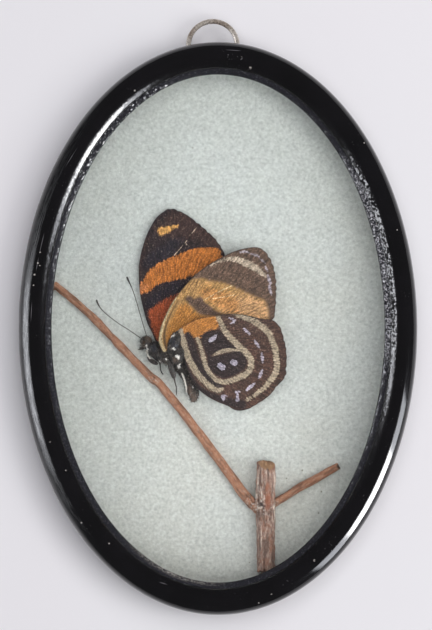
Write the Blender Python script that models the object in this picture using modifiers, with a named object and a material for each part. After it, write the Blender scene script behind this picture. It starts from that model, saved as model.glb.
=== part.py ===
"""Butterfly on a twig in an oval frame with convex glass.

The frame lies on its back. The origin is the middle of the oval on the back plane. +Z points out through the
glass, +Y points at the hanging loop and +X is to the right, seen through the glass. Sizes are in millimetres,
and MM turns them to metres where a shape is made.
"""

import math

import bmesh
import bpy
from mathutils import Matrix, Vector

MM = 0.001

# Frame moulding. "In" is the distance from the outer side towards the middle of the oval.
FRAME_LENGTH = 120.0
FRAME_WIDTH = 83.5
RIM_WIDTH = 7.0
RIM_HEIGHT = 11.0
SIDE_HEIGHT = 5.6
FOOT_IN = 0.6
FOOT_HEIGHT = 0.9
RIDGE_IN = 2.9
LIP_ROOT_IN = 5.6
LIP_TOP = 8.8
LIP_ROUND = 0.3
LIP_UNDERSIDE = 7.9
GLASS_SEAT_IN = 6.0
BOARD_SEAT_IN = 4.2
BOARD_STEP = 3.0
BEAD_STEPS = 5
OVAL_SIDES = 72

# Back board and papered card
BOARD_IN = 4.5
BOARD_THICKNESS = 2.0
CARD_BOTTOM = 2.1
CARD_THICKNESS = 0.6
PAPER = CARD_BOTTOM + CARD_THICKNESS

# Convex glass
GLASS_IN = 6.3
GLASS_FLANGE_IN = 7.2
GLASS_EDGE_TOP = 7.6
GLASS_THICKNESS = 1.4
GLASS_RISE = 8.0
GLASS_BULGE_POWER = 2.2
GLASS_RINGS = (0.94, 0.85, 0.72, 0.55, 0.34, 0.14)
GLASS_SIDES = 56

# Wire loop at the top
LOOP_WIRE = 1.05
LOOP_RADIUS = 5.15
LOOP_X = -1.1
LOOP_Y = 59.5
LOOP_Z = 4.5
LOOP_LEG_END = 55.2
LOOP_HOLE_RADIUS = 0.68
LOOP_HOLE_END = 55.0
LOOP_STEPS = 14

# Twig: the points run along each piece's middle, as x, y, height over the paper and radius
STEM_TOP = -27.3
STEM_BOTTOM = -50.6
STEM_X = 9.75
STEM_RADIUS = 1.8
STEM_FORK_Y = -37.2
STEM_FORK_SWELL = 0.25
STEM_FORK_LENGTH = 2.2
STEM_HEIGHT = 1.62
STEM_LIFT = 0.06
STEM_SIDES = 18
STEM_ROWS = 9
STEM_RIDGES = 6
STEM_RIDGE_DEPTH = 0.12
STEM_RIDGE_TWIST = 0.12
STEM_CUT_ROUND = 0.45
STEM_CUT_SLANT = 0.25
LONG_BRANCH = [
    (-34.5, 9.5, 0.86, 0.76),
    (-31.9, 7.3, 0.88, 0.76),
    (-26.2, 2.3, 0.86, 0.76),
    (-20.6, -3.5, 0.90, 0.80),
    (-14.4, -9.7, 0.92, 0.86),
    (-13.2, -10.9, 0.96, 0.92),
    (-12.1, -11.9, 0.90, 0.84),
    (-7.5, -17.6, 0.88, 0.80),
    (-2.5, -24.3, 0.88, 0.82),
    (2.1, -30.6, 0.92, 0.84),
    (5.5, -34.6, 1.05, 0.92),
    (6.75, -35.9, 1.20, 1.05),
]
SHORT_BRANCH = [
    (12.6, -36.35, 1.30, 0.92),
    (14.0, -35.3, 1.15, 0.72),
    (18.6, -32.6, 1.00, 0.66),
    (25.2, -29.0, 0.90, 0.60),
]

# Butterfly body, from the head side to the tip of the abdomen: x, y and radius in the plane of the paper
BODY_HEIGHT = PAPER + 1.68
BODY_FLAT = 0.65
BODY_SPINE = [
    (-14.4, -3.6, 0.95),
    (-13.6, -4.5, 1.35),
    (-12.0, -5.4, 1.80),
    (-9.9, -5.6, 2.35),
    (-8.2, -7.1, 2.00),
    (-7.0, -8.9, 1.45),
    (-6.0, -10.9, 1.25),
    (-5.3, -12.8, 1.25),
    (-5.1, -14.2, 1.10),
    (-5.35, -15.4, 0.50),
]
HEAD = (-15.05, -2.8)
HEAD_SIZE = (1.30, 1.30, 1.15)
EYE = (-15.5, -3.0)
EYE_RISE = 0.62
EYE_RADIUS = 0.62
PALP_ROOT = (-15.2, -4.0)
PALP_TIP = (-16.8, -4.4)
PALP_RADIUS = 0.42

# Wings: outlines as x, y on the paper. Each plate tips down from its hinge towards its outer margin.
WING_THICKNESS = 0.25
WING_CURVE_STEPS = 3
FOREWING_FAR = [
    (-12.6, -3.0),
    (-14.2, -0.4),
    (-15.6, 4.0),
    (-16.4, 8.8),
    (-16.5, 13.4),
    (-15.4, 18.6),
    (-13.6, 22.3),
    (-11.5, 24.5),
    (-9.6, 25.1),
    (-5.9, 23.3),
    (-2.8, 20.9),
    (-0.6, 18.6),
    (1.5, 15.2),
    (3.2, 11.4),
    (-2.0, 4.5),
    (-8.6, -2.1),
    (-11.2, -3.5),
]
FOREWING_NEAR = [
    (-11.4, -4.9),
    (-12.4, -2.0),
    (-11.0, 2.8),
    (-8.6, 6.8),
    (-5.9, 10.2),
    (-2.9, 12.6),
    (0.8, 14.8),
    (4.4, 16.4),
    (7.7, 17.0),
    (9.9, 15.9),
    (11.2, 13.5),
    (12.1, 9.6),
    (12.1, 5.4),
    (11.4, 1.8),
    (7.5, 0.2),
    (0.0, -0.8),
    (-6.5, -2.9),
    (-10.6, -5.3),
]
HINDWING = [
    (-10.4, -3.6),
    (-8.1, -0.1),
    (-5.9, 1.2),
    (-2.5, 2.4),
    (1.9, 3.0),
    (7.2, 2.4),
    (11.5, 1.6),
    (13.3, -0.9),
    (14.3, -5.5),
    (13.9, -10.2),
    (11.2, -13.6),
    (7.9, -16.1),
    (4.9, -17.0),
    (0.1, -15.2),
    (-3.4, -13.1),
    (-5.9, -9.8),
    (-7.2, -5.9),
    (-9.6, -5.4),
]
FOREWING_FAR_HINGE = (-11.2, -3.5, PAPER + 1.25)
FOREWING_FAR_SPAN = (0.05, 1.0)
FOREWING_FAR_TIP = 0.6
FOREWING_NEAR_HINGE = (-11.4, -4.9, PAPER + 3.50)
FOREWING_NEAR_SPAN = (0.70, 0.71)
FOREWING_NEAR_TIP = 2.0
HINDWING_NEAR_HINGE = (-8.0, -2.5, PAPER + 3.95)
HINDWING_SPAN = (0.85, -0.53)
HINDWING_NEAR_TIP = 2.15
HINDWING_FAR_HINGE = (-8.0, -2.5, PAPER + 0.30)
HINDWING_FAR_TIP = 0.2
HINDWING_FAR_TURN = -1.6

# Antennae and legs: x, y, height over the paper and radius
ANTENNA_UPPER = [
    (-15.0, -1.42, 2.0, 0.10),
    (-15.7, 0.9, 2.1, 0.10),
    (-16.4, 3.3, 2.1, 0.10),
    (-17.2, 6.1, 2.0, 0.10),
    (-18.1, 8.6, 1.8, 0.13),
    (-19.0, 10.7, 1.6, 0.20),
]
ANTENNA_LOWER = [
    (-16.25, -2.0, 1.9, 0.10),
    (-18.7, -0.3, 1.9, 0.10),
    (-20.9, 1.1, 1.8, 0.10),
    (-23.0, 2.7, 1.6, 0.10),
    (-24.5, 4.2, 1.4, 0.14),
    (-25.4, 5.8, 1.2, 0.20),
]
FORELEG = [
    (-15.0, -4.75, 1.9, 0.16),
    (-14.6, -6.0, 1.8, 0.18),
    (-14.3, -6.6, 1.7, 0.42),
    (-13.4, -7.2, 1.7, 0.42),
    (-12.7, -7.5, 1.7, 0.20),
]
MIDLEG_FAR = [
    (-12.0, -7.2, 0.9, 0.14),
    (-12.1, -8.6, 0.7, 0.13),
    (-11.8, -9.5, 0.4, 0.16),
]
MIDLEG_NEAR = [
    (-10.05, -7.0, 3.60, 0.45),
    (-9.6, -9.0, 2.90, 0.62),
    (-9.3, -10.1, 2.30, 0.50),
    (-9.15, -10.5, 2.00, 0.25),
    (-8.9, -12.1, 1.40, 0.15),
    (-8.75, -14.0, 0.50, 0.15),
]
HINDLEG_NEAR = [
    (-8.2, -9.75, 2.3, 0.20),
    (-7.25, -11.5, 2.4, 0.20),
    (-6.95, -13.3, 1.9, 0.16),
]


def point(x, y, z=0.0):
    """A place in millimetres as a vector in metres."""
    return Vector((x, y, z)) * MM


def linear(hex_colour):
    """A hex colour as the linear values that a shader socket takes."""
    values = [int(hex_colour[i : i + 2], 16) / 255 for i in (1, 3, 5)]
    return [v / 12.92 if v <= 0.04045 else ((v + 0.055) / 1.055) ** 2.4 for v in values] + [1.0]


def material(name, colour, roughness, metallic=0.0, transmission=0.0):
    """A plain finish with the part's own colour."""
    made = bpy.data.materials.new(name)
    made.use_nodes = True
    shader = made.node_tree.nodes["Principled BSDF"]
    shader.inputs["Base Color"].default_value = linear(colour)
    shader.inputs["Roughness"].default_value = roughness
    shader.inputs["Metallic"].default_value = metallic
    shader.inputs["Transmission Weight"].default_value = transmission
    made.diffuse_color = linear(colour)
    return made


def new_collection(name):
    """A collection of the scene for the parts or for their cutters."""
    made = bpy.data.collections.new(name)
    bpy.context.scene.collection.children.link(made)
    return made


def place(name, data, group, finish=None):
    """An object for this mesh or curve in the group, with its finish."""
    made = bpy.data.objects.new(name, data)
    group.objects.link(made)
    if finish:
        data.materials.append(finish)
    return made


def as_guide(made):
    """Marks a cutter or a guide, which isn't part of the object."""
    made.hide_render = True
    made.display_type = "WIRE"
    return made


def cutter_from_last(name, cutters):
    """The primitive that was just added, named and moved to the cutters."""
    made = as_guide(bpy.context.object)
    made.name = name
    for group in list(made.users_collection):
        group.objects.unlink(made)
    cutters.objects.link(made)
    return made


def oval(inset, sides):
    """Points on the frame's outline moved inwards by inset, counterclockwise from +X."""
    half_x, half_y = FRAME_WIDTH / 2, FRAME_LENGTH / 2
    points = []
    for i in range(sides):
        turn = 2 * math.pi * i / sides
        across = Vector((half_y * math.cos(turn), half_x * math.sin(turn))).normalized()
        points.append(Vector((half_x * math.cos(turn), half_y * math.sin(turn))) - across * inset)
    return points


def poly_curve(name, points, closed, radii=None):
    """A POLY curve through points in millimetres, each with its own radius if radii are given."""
    curve = bpy.data.curves.new(name, "CURVE")
    spline = curve.splines.new("POLY")
    spline.points.add(len(points) - 1)
    for i, at in enumerate(points):
        spline.points[i].co = (*point(*at), 1.0)
        spline.points[i].radius = radii[i] if radii else 1.0
    spline.use_cyclic_u = closed
    return curve


def mesh_from(made):
    """The evaluated object as a welded mesh. The object itself is removed."""
    bpy.context.view_layer.update()
    graph = bpy.context.evaluated_depsgraph_get()
    mesh = bpy.data.meshes.new_from_object(made.evaluated_get(graph))
    mesh.transform(made.matrix_world)
    bm = bmesh.new()
    bm.from_mesh(mesh)
    bmesh.ops.remove_doubles(bm, verts=bm.verts, dist=0.00001)
    bm.to_mesh(mesh)
    bm.free()
    bpy.data.objects.remove(made)
    return mesh


def tube(name, path, group, finish, sides=2, floor=PAPER):
    """A round solid along (x, y, height over floor, radius) points, with flat caps."""
    curve = poly_curve(name, [(x, y, floor + z) for x, y, z, r in path], False, [r for x, y, z, r in path])
    curve.dimensions = "3D"
    curve.bevel_depth = MM
    curve.bevel_resolution = sides
    curve.use_fill_caps = True
    return place(name, curve, group, finish)


def boolean(made, operation, other):
    """Cuts or joins the other object, which stays as a guide."""
    step = made.modifiers.new(other.name, "BOOLEAN")
    step.operation = operation
    step.object = other
    step.solver = "EXACT"


def moulding_section():
    """The section of the frame as (in, height): up the outer side, over the bead, round the lip and the rabbets."""
    section = [(FOOT_IN, 0.0), (0.0, FOOT_HEIGHT)]
    for i in range(BEAD_STEPS + 1):
        turn = math.pi / 2 * i / BEAD_STEPS
        height = SIDE_HEIGHT + (RIM_HEIGHT - SIDE_HEIGHT) * math.sin(turn)
        section.append((RIDGE_IN * (1 - math.cos(turn)), height))
    for i in range(1, BEAD_STEPS):
        turn = math.pi / 2 * i / (BEAD_STEPS - 1)
        height = LIP_TOP + (RIM_HEIGHT - LIP_TOP) * math.cos(turn)
        section.append((RIDGE_IN + (LIP_ROOT_IN - RIDGE_IN) * math.sin(turn), height))
    section += [
        (RIM_WIDTH - LIP_ROUND, LIP_TOP - 0.1),
        (RIM_WIDTH, LIP_TOP - LIP_ROUND),
        (RIM_WIDTH, LIP_UNDERSIDE),
        (GLASS_SEAT_IN, LIP_UNDERSIDE),
        (GLASS_SEAT_IN, BOARD_STEP),
        (BOARD_SEAT_IN, BOARD_STEP),
        (BOARD_SEAT_IN, 0.0),
    ]
    return section


def make_frame(parts, cutters):
    """The oval moulding: its section swept round the outline, with two holes for the loop's legs."""
    section = poly_curve("moulding section", moulding_section(), True)
    section.dimensions = "2D"
    guide = as_guide(place("moulding section", section, cutters))
    path = poly_curve("frame", [tuple(p) for p in oval(0.0, OVAL_SIDES)], True)
    path.dimensions = "2D"
    path.fill_mode = "NONE"
    path.bevel_mode = "OBJECT"
    path.bevel_object = guide
    mesh = mesh_from(place("frame sweep", path, cutters))
    frame = place("frame", mesh, parts, material("black lacquered wood", "#0E0D0F", 0.22))
    depth = FRAME_LENGTH / 2 + 2 - LOOP_HOLE_END
    for side in (-1, 1):
        bpy.ops.mesh.primitive_cylinder_add(
            vertices=16,
            radius=LOOP_HOLE_RADIUS * MM,
            depth=depth * MM,
            location=point(LOOP_X + side * LOOP_RADIUS, LOOP_HOLE_END + depth / 2, LOOP_Z),
            rotation=(math.pi / 2, 0, 0),
        )
        hole = cutter_from_last("loop hole left" if side < 0 else "loop hole right", cutters)
        boolean(frame, "DIFFERENCE", hole)
    return frame


def make_plate(name, outline, thickness, parts, finish):
    """A flat plate with this outline, its middle plane on the object's own z = 0."""
    curve = poly_curve(name, [tuple(p) for p in outline], True)
    curve.dimensions = "2D"
    curve.fill_mode = "BOTH"
    curve.extrude = thickness / 2 * MM
    return place(name, curve, parts, finish)


def make_board_and_card(parts):
    """The back board, and the papered card in front of it."""
    outline = oval(BOARD_IN, OVAL_SIDES)
    board = make_plate("back_board", outline, BOARD_THICKNESS, parts, material("brown board", "#6B5540", 0.85))
    board.location = point(0, 0, BOARD_THICKNESS / 2)
    card = make_plate("paper_card", outline, CARD_THICKNESS, parts, material("pale paper", "#C6CAC4", 0.95))
    card.location = point(0, 0, CARD_BOTTOM + CARD_THICKNESS / 2)


def make_glass(parts):
    """The convex pane: a flat edge under the lip, then a shell that rises to the middle of the oval."""
    half_x, half_y = FRAME_WIDTH / 2, FRAME_LENGTH / 2
    bm = bmesh.new()
    ring = bmesh.ops.create_circle(bm, segments=GLASS_SIDES, radius=1.0)["verts"]
    for vert, at in zip(ring, oval(GLASS_IN, GLASS_SIDES)):
        vert.co = point(at.x, at.y, GLASS_EDGE_TOP)
    edges = list(bm.edges)
    inner_x = (half_x - GLASS_FLANGE_IN) / (half_x - GLASS_IN)
    inner_y = (half_y - GLASS_FLANGE_IN) / (half_y - GLASS_IN)
    rings = [(inner_x, inner_y, GLASS_EDGE_TOP)]
    last = 1.0
    for reach in GLASS_RINGS:
        height = GLASS_EDGE_TOP + GLASS_RISE * (1 - reach**GLASS_BULGE_POWER)
        rings.append((reach / last, reach / last, height))
        last = reach
    for scale_x, scale_y, height in rings + [(1.0, 1.0, GLASS_EDGE_TOP + GLASS_RISE)]:
        grown = bmesh.ops.extrude_edge_only(bm, edges=edges)["geom"]
        ring = [g for g in grown if isinstance(g, bmesh.types.BMVert)]
        inner = set(ring)
        edges = [g for g in grown if isinstance(g, bmesh.types.BMEdge) and inner.issuperset(g.verts)]
        bmesh.ops.scale(bm, vec=(scale_x, scale_y, 1.0), verts=ring)
        for vert in ring:
            vert.co.z = height * MM
    bmesh.ops.pointmerge(bm, verts=ring, merge_co=point(0, 0, GLASS_EDGE_TOP + GLASS_RISE))
    if sum(face.normal.z for face in bm.faces) < 0:
        bmesh.ops.reverse_faces(bm, faces=bm.faces)
    mesh = bpy.data.meshes.new("glass")
    bm.to_mesh(mesh)
    bm.free()
    mesh.shade_smooth()
    glass = place("glass", mesh, parts, material("clear glass", "#F4F8F6", 0.02, transmission=1.0))
    wall = glass.modifiers.new("thickness", "SOLIDIFY")
    wall.thickness = GLASS_THICKNESS * MM
    wall.offset = -1.0
    wall.use_even_offset = True


def make_hanging_loop(parts):
    """The wire loop: a half circle between two straight legs that stand in the frame's holes."""
    path = [(LOOP_X - LOOP_RADIUS, LOOP_LEG_END)]
    for i in range(LOOP_STEPS + 1):
        turn = math.pi * (1 - i / LOOP_STEPS)
        path.append((LOOP_X + LOOP_RADIUS * math.cos(turn), LOOP_Y + LOOP_RADIUS * math.sin(turn)))
    path.append((LOOP_X + LOOP_RADIUS, LOOP_LEG_END))
    wire = [(x, y, LOOP_Z, LOOP_WIRE / 2) for x, y in path]
    tube("hanging_loop", wire, parts, material("steel wire", "#7B7672", 0.35, metallic=1.0), floor=0.0)


def make_stem(parts, bark):
    """The thick stub: ridged bark, a swelling at the fork, a rough cut on top and a flat underside."""
    length = STEM_TOP - STEM_BOTTOM
    bm = bmesh.new()
    bmesh.ops.create_cone(
        bm, cap_ends=True, segments=STEM_SIDES, radius1=STEM_RADIUS, radius2=STEM_RADIUS, depth=length
    )
    upright = [e for e in bm.edges if abs(e.verts[0].co.z - e.verts[1].co.z) > length / 2]
    bmesh.ops.subdivide_edges(bm, edges=upright, cuts=STEM_ROWS)
    for vert in bm.verts:
        across, height, along = vert.co
        y = STEM_BOTTOM + length / 2 + along
        turn = math.atan2(height, across)
        ridge = STEM_RIDGE_DEPTH * math.cos(STEM_RIDGES * turn + STEM_RIDGE_TWIST * along)
        swell = STEM_FORK_SWELL * math.exp(-(((y - STEM_FORK_Y) / STEM_FORK_LENGTH) ** 2))
        radius = STEM_RADIUS + ridge + swell
        x = radius * math.cos(turn)
        if along > length / 2 - MM:
            y -= STEM_CUT_ROUND * x * x + STEM_CUT_SLANT * x
        z = max(STEM_HEIGHT + radius * math.sin(turn), STEM_LIFT)
        vert.co = point(STEM_X + x, y, PAPER + z)
    bmesh.ops.recalc_face_normals(bm, faces=bm.faces)
    mesh = bpy.data.meshes.new("stem")
    bm.to_mesh(mesh)
    bm.free()
    place("stem", mesh, parts, bark)


def make_twig(parts):
    """The twig, split at its forks."""
    bark = material("bark", "#90766B", 0.9)
    make_stem(parts, bark)
    tube("long_branch", LONG_BRANCH, parts, material("thin bark", "#8E6C5A", 0.85))
    tube("short_branch", SHORT_BRANCH, parts, material("young bark", "#795F4A", 0.85))


def ball(name, centre, size, cutters):
    """A rounded lump that is joined to the body."""
    bpy.ops.mesh.primitive_uv_sphere_add(segments=14, ring_count=9, radius=MM, location=point(*centre))
    made = cutter_from_last(name, cutters)
    made.scale = size
    return made


def make_body(parts, cutters):
    """Head, palps, thorax and abdomen of the dried insect, which lies on its side."""
    spine = [(x, y, 0.0, r) for x, y, r in BODY_SPINE]
    mesh = mesh_from(tube("body sweep", spine, cutters, None, sides=4, floor=0.0))
    mesh.transform(Matrix.Translation(point(0, 0, BODY_HEIGHT)) @ Matrix.Diagonal((1, 1, BODY_FLAT, 1)))
    body = place("butterfly_body", mesh, parts, material("dark insect body", "#2E2829", 0.8))
    head = ball("head", (*HEAD, BODY_HEIGHT), HEAD_SIZE, cutters)
    eye = ball("eye", (*EYE, BODY_HEIGHT + EYE_RISE), (EYE_RADIUS,) * 3, cutters)
    palp_path = [
        (*PALP_ROOT, BODY_HEIGHT, PALP_RADIUS),
        (*PALP_TIP, BODY_HEIGHT, PALP_RADIUS / 4),
    ]
    palp_mesh = mesh_from(tube("palp sweep", palp_path, cutters, None, floor=0.0))
    palp = as_guide(place("palp", palp_mesh, cutters))
    for part in (head, eye, palp):
        boolean(body, "UNION", part)


def turned(outline, hinge, degrees):
    """The outline turned about the hinge."""
    turn = Matrix.Rotation(math.radians(degrees), 2)
    middle = Vector(hinge[:2])
    return [tuple(turn @ (Vector(p) - middle) + middle) for p in outline]


def make_wing(name, outline, hinge, span, tip_height, parts, finish):
    """A thin plate with a smooth outline that tips down from its hinge, along span, to tip_height over the paper."""
    middle = Vector(hinge[:2])
    along = Vector(span).normalized()
    local = [Vector(p) - middle for p in outline]
    curve = bpy.data.curves.new(name, "CURVE")
    spline = curve.splines.new("BEZIER")
    spline.bezier_points.add(len(local) - 1)
    for knot, at in zip(spline.bezier_points, local):
        knot.co = point(*at)
        knot.handle_left_type = "AUTO"
        knot.handle_right_type = "AUTO"
    spline.use_cyclic_u = True
    spline.resolution_u = WING_CURVE_STEPS
    curve.dimensions = "2D"
    curve.fill_mode = "BOTH"
    curve.extrude = WING_THICKNESS / 2 * MM
    wing = place(name, curve, parts, finish)
    reach = max(at.dot(along) for at in local)
    tilt = math.atan2(hinge[2] - PAPER - tip_height, reach)
    axis = Vector((-along.y, along.x, 0.0))
    wing.matrix_world = Matrix.Translation(point(*hinge)) @ Matrix.Rotation(tilt, 4, axis)


def make_wings(parts):
    """Two forewings and two hindwings. The far pair lies on the paper, behind the body."""
    upper_side = material("orange and black wing scales", "#B5723B", 0.8)
    under_side = material("buff wing scales", "#BE8E5E", 0.85)
    ringed = material("ringed brown wing scales", "#5E4A42", 0.85)
    make_wing(
        "forewing_far", FOREWING_FAR, FOREWING_FAR_HINGE, FOREWING_FAR_SPAN, FOREWING_FAR_TIP, parts, upper_side
    )
    make_wing(
        "forewing_near", FOREWING_NEAR, FOREWING_NEAR_HINGE, FOREWING_NEAR_SPAN, FOREWING_NEAR_TIP, parts, under_side
    )
    make_wing("hindwing_near", HINDWING, HINDWING_NEAR_HINGE, HINDWING_SPAN, HINDWING_NEAR_TIP, parts, ringed)
    far_outline = turned(HINDWING[1:-1], HINDWING_FAR_HINGE, HINDWING_FAR_TURN)
    make_wing("hindwing_far", far_outline, HINDWING_FAR_HINGE, HINDWING_SPAN, HINDWING_FAR_TIP, parts, ringed)


def make_limbs(parts):
    """The antennae and the legs that show on this side."""
    dark = material("dark limbs", "#3A3231", 0.8)
    limbs = {
        "antenna_upper": ANTENNA_UPPER,
        "antenna_lower": ANTENNA_LOWER,
        "foreleg": FORELEG,
        "midleg_far": MIDLEG_FAR,
        "midleg_near": MIDLEG_NEAR,
        "hindleg_near": HINDLEG_NEAR,
    }
    for name, path in limbs.items():
        tube(name, path, parts, dark, sides=1)


def main():
    """Clears the scene and builds every piece."""
    for old in list(bpy.data.objects):
        bpy.data.objects.remove(old)
    parts = new_collection("framed butterfly")
    cutters = new_collection("cutters")
    make_frame(parts, cutters)
    make_board_and_card(parts)
    make_glass(parts)
    make_hanging_loop(parts)
    make_twig(parts)
    make_body(parts, cutters)
    make_wings(parts)
    make_limbs(parts)


main()
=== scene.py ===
"""Framed butterfly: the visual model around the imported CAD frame.

The frame lies on its back. +Z points out through the glass, +Y towards the hanging loop, +X to the right.
Shapes and marks are given in millimetres and are turned to metres where a mesh is made.
"""
import math
import random

import bmesh
import bpy
import numpy as np
from mathutils import Matrix, Vector, noise


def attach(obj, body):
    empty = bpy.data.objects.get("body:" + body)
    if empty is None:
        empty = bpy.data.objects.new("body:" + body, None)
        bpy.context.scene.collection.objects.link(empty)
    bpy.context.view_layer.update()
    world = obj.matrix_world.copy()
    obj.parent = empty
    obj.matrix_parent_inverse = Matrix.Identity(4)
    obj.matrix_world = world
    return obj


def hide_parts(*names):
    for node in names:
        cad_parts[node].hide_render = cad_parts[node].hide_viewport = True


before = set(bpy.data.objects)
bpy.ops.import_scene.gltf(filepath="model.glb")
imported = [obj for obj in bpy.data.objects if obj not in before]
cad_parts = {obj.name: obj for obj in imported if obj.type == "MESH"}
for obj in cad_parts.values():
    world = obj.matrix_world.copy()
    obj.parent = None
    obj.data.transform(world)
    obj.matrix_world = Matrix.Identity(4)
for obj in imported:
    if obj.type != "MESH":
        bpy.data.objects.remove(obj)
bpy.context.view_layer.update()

bl_info = {
    "name": "Framed butterfly",
    "version": (1, 0, 0),
    "blender": (4, 5, 0),
    "location": "3D View > Sidebar > Framed butterfly",
    "description": "Builds a dried butterfly on a twig behind convex glass in a black oval frame",
    "category": "Object",
}

MM = 0.001
# Height of the paper's face over the back plane
PAPER = 2.7
# Points between two points of an outline, once it is rounded
OUTLINE_STEPS = 6

# Oval moulding, as in the CAD. "In" is the distance from the outer side towards the middle.
FRAME_LENGTH = 120.0
FRAME_WIDTH = 83.5
OVAL_STEPS = 480
RIM_HEIGHT = 11.0
# The radius at which the section is spun before it is fitted to the oval, and that of its map's circle
SPIN_RADIUS = 10.0
MAP_RADIUS = 50.0
# The bead's slope from the ridge outwards and inwards, as (in, degrees over the horizon that it faces)
OUTER_SLOPE = [
    (3.1, 90), (2.7, 77), (2.35, 64), (2.0, 59), (1.65, 55.5), (1.3, 52), (1.05, 48), (0.85, 41), (0.65, 32),
    (0.45, 23), (0.25, 14), (0.12, 9), (0.03, 4), (0.0, 1),
]
INNER_SLOPE = [
    (3.1, 90), (3.6, 80), (4.0, 70), (4.3, 62), (4.65, 58.5), (5.0, 55), (5.3, 51), (5.55, 46), (5.7, 42),
]
LIP = [
    (5.78, -0.30), (5.86, -0.46), (5.98, -0.47), (6.2, -0.55), (6.45, -0.66), (6.7, -0.79), (6.86, -0.92),
    (6.96, -1.10), (7.0, -1.35),
]
LIP_UNDERSIDE = 7.9
# The bead's faint waves: height, length, and where the bead lies as (in from, in to, lowest height)
LACQUER_WAVE = 0.035
LACQUER_WAVE_LENGTH = 6.0
BEAD = (0.3, 5.5, 5.0)
# Rumpled places of the lacquer, at the right and at the upper left: x, y and radius
RUMPLED = [(36.0, 14.0, 27.0), (-22.0, 41.0, 20.0)]
# Chips that show the ground: x, y and radius
CHIPS = [
    (-36.9, 15.8, 0.20), (-37.4, 13.6, 0.24), (-37.0, 13.1, 0.18), (-38.1, 11.2, 0.26), (-38.3, 9.0, 0.20),
    (-34.9, -23.5, 0.22), (-31.6, -29.5, 0.20), (-28.4, -40.3, 0.22), (-22.6, -44.6, 0.20),
    (4.9, 56.4, 0.16), (6.7, 54.2, 0.34), (20.0, -48.1, 0.30), (8.5, -57.0, 0.22), (11.1, -55.1, 0.16),
    (-17.3, 49.4, 0.20), (30.4, 38.6, 0.18), (37.2, 20.5, 0.16),
]
# Scratches: x, y, half length, half width and turn
SCRATCHES = [
    (-36.6, 17.6, 2.7, 0.11, 77), (-37.5, 13.4, 1.7, 0.09, 79), (-38.75, 3.5, 2.6, 0.08, 87),
    (3.2, 57.8, 1.9, 0.10, -3), (4.9, 56.0, 0.45, 0.14, 45), (-11.4, -52.9, 1.1, 0.10, -18),
    (-30.5, 35.5, 3.0, 0.07, 58),
]
# Where pale dust lies on the lip
DUSTY_LIP = (-9.0, -50.5)

# Convex glass, as in the CAD
GLASS_IN = 6.3
GLASS_FLANGE_IN = 7.2
GLASS_EDGE_TOP = 7.6
GLASS_THICKNESS = 1.4
GLASS_RISE = 8.0
GLASS_BULGE_POWER = 2.2
GLASS_RINGS = 30
GLASS_STEPS = 160

# Wire loop, as in the CAD
LOOP_WIRE = 1.05
LOOP_RADIUS = 5.15
LOOP_CENTRE = (-1.1, 59.5, 4.5)
LOOP_LEG_END = 55.2
LOOP_STEPS = 48

# The paper is painted a little darker towards an oval with this middle and these half sizes, as painted shade
# from the frame's rim
PAPER_SHADE_MIDDLE = (-1.2, 0.0)
PAPER_SHADE_REACH = (36.0, 54.5, 1000.0)
# Dark specks in the paper: x, y and radius
SPECKS = [
    (17.7, -29.9, 0.26), (21.7, -34.4, 0.28), (21.1, -38.9, 0.24), (14.4, -31.6, 0.20),
    (6.6, -49.3, 0.18), (5.3, -50.8, 0.16), (-5.3, 38.0, 0.20), (-30.2, -14.2, 0.14), (22.6, 21.4, 0.12),
]

# Twig: x, y, height over the paper and radius along each piece's middle
STEM = [
    (9.95, -50.9, 1.62, 1.72),
    (9.95, -48.0, 1.62, 1.80),
    (9.95, -43.0, 1.66, 1.88),
    (9.95, -39.0, 1.70, 1.98),
    (9.9, -37.0, 1.72, 2.04),
    (9.95, -34.5, 1.72, 1.95),
    (10.0, -31.0, 1.70, 1.92),
    (10.05, -28.0, 1.68, 1.90),
]
LONG_BRANCH = [
    (-34.6, 9.5, 0.86, 0.74), (-31.9, 7.3, 0.88, 0.76), (-26.2, 2.3, 0.86, 0.76), (-20.7, -3.5, 0.90, 0.80),
    (-14.6, -9.7, 0.92, 0.88), (-13.3, -10.9, 0.98, 1.00), (-12.1, -11.9, 0.92, 0.90),
    (-7.5, -17.5, 0.92, 0.90), (-2.4, -24.2, 0.94, 0.93), (2.3, -30.5, 0.98, 1.00),
    (4.75, -33.9, 1.08, 1.06), (6.6, -36.1, 1.25, 1.12), (8.6, -38.2, 1.50, 1.00),
]
SHORT_BRANCH = [
    (9.6, -38.4, 1.50, 0.95), (11.4, -36.9, 1.40, 0.92), (13.4, -35.7, 1.22, 0.80), (15.4, -34.5, 1.08, 0.80),
    (18.6, -32.6, 1.00, 0.88), (21.2, -31.2, 0.98, 0.84), (25.3, -28.9, 0.92, 0.68),
]
# Where the stem was cut off at a slant: the height of the cut, its lower end and its slope
CUT = (3.72, -29.7, 1.05)
# Patches of the stem's bark as x, y, half length, half width and turn
SMOOTH_BARK = [(10.4, -36.0, 3.0, 0.95, 88), (10.2, -33.2, 1.6, 0.6, 80)]
PALE_BARK = [
    (8.35, -32.2, 2.6, 0.17, 90), (11.85, -31.8, 2.6, 0.18, 90), (11.8, -39.2, 2.6, 0.18, 90),
    (8.7, -37.5, 0.9, 0.40, 20), (7.9, -35.0, 0.6, 0.45, 60), (11.7, -37.3, 0.9, 0.34, 80),
    (9.1, -34.6, 1.6, 0.14, 95), (9.0, -44.0, 3.0, 0.12, 90),
]
# The dark broken end of the short branch: x, y and radius
BROKEN_TIP = [(25.4, -28.9, 0.75)]
TWIG_VOXEL = 0.13
# Rough places of the twig, the fork and the knot on the long branch: x, y and reach along x and y
FORK = (8.6, -36.6, 3.6, 2.4)
KNOT = (-13.4, -10.6, 0.9, 0.9)
# How many ridges and flakes of bark come to a millimetre, round the twig and along it, and how many lumps
RIDGES = (1.5, 0.28)
FLAKES = (3.4, 0.9)
LUMPS = 1.7
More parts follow.
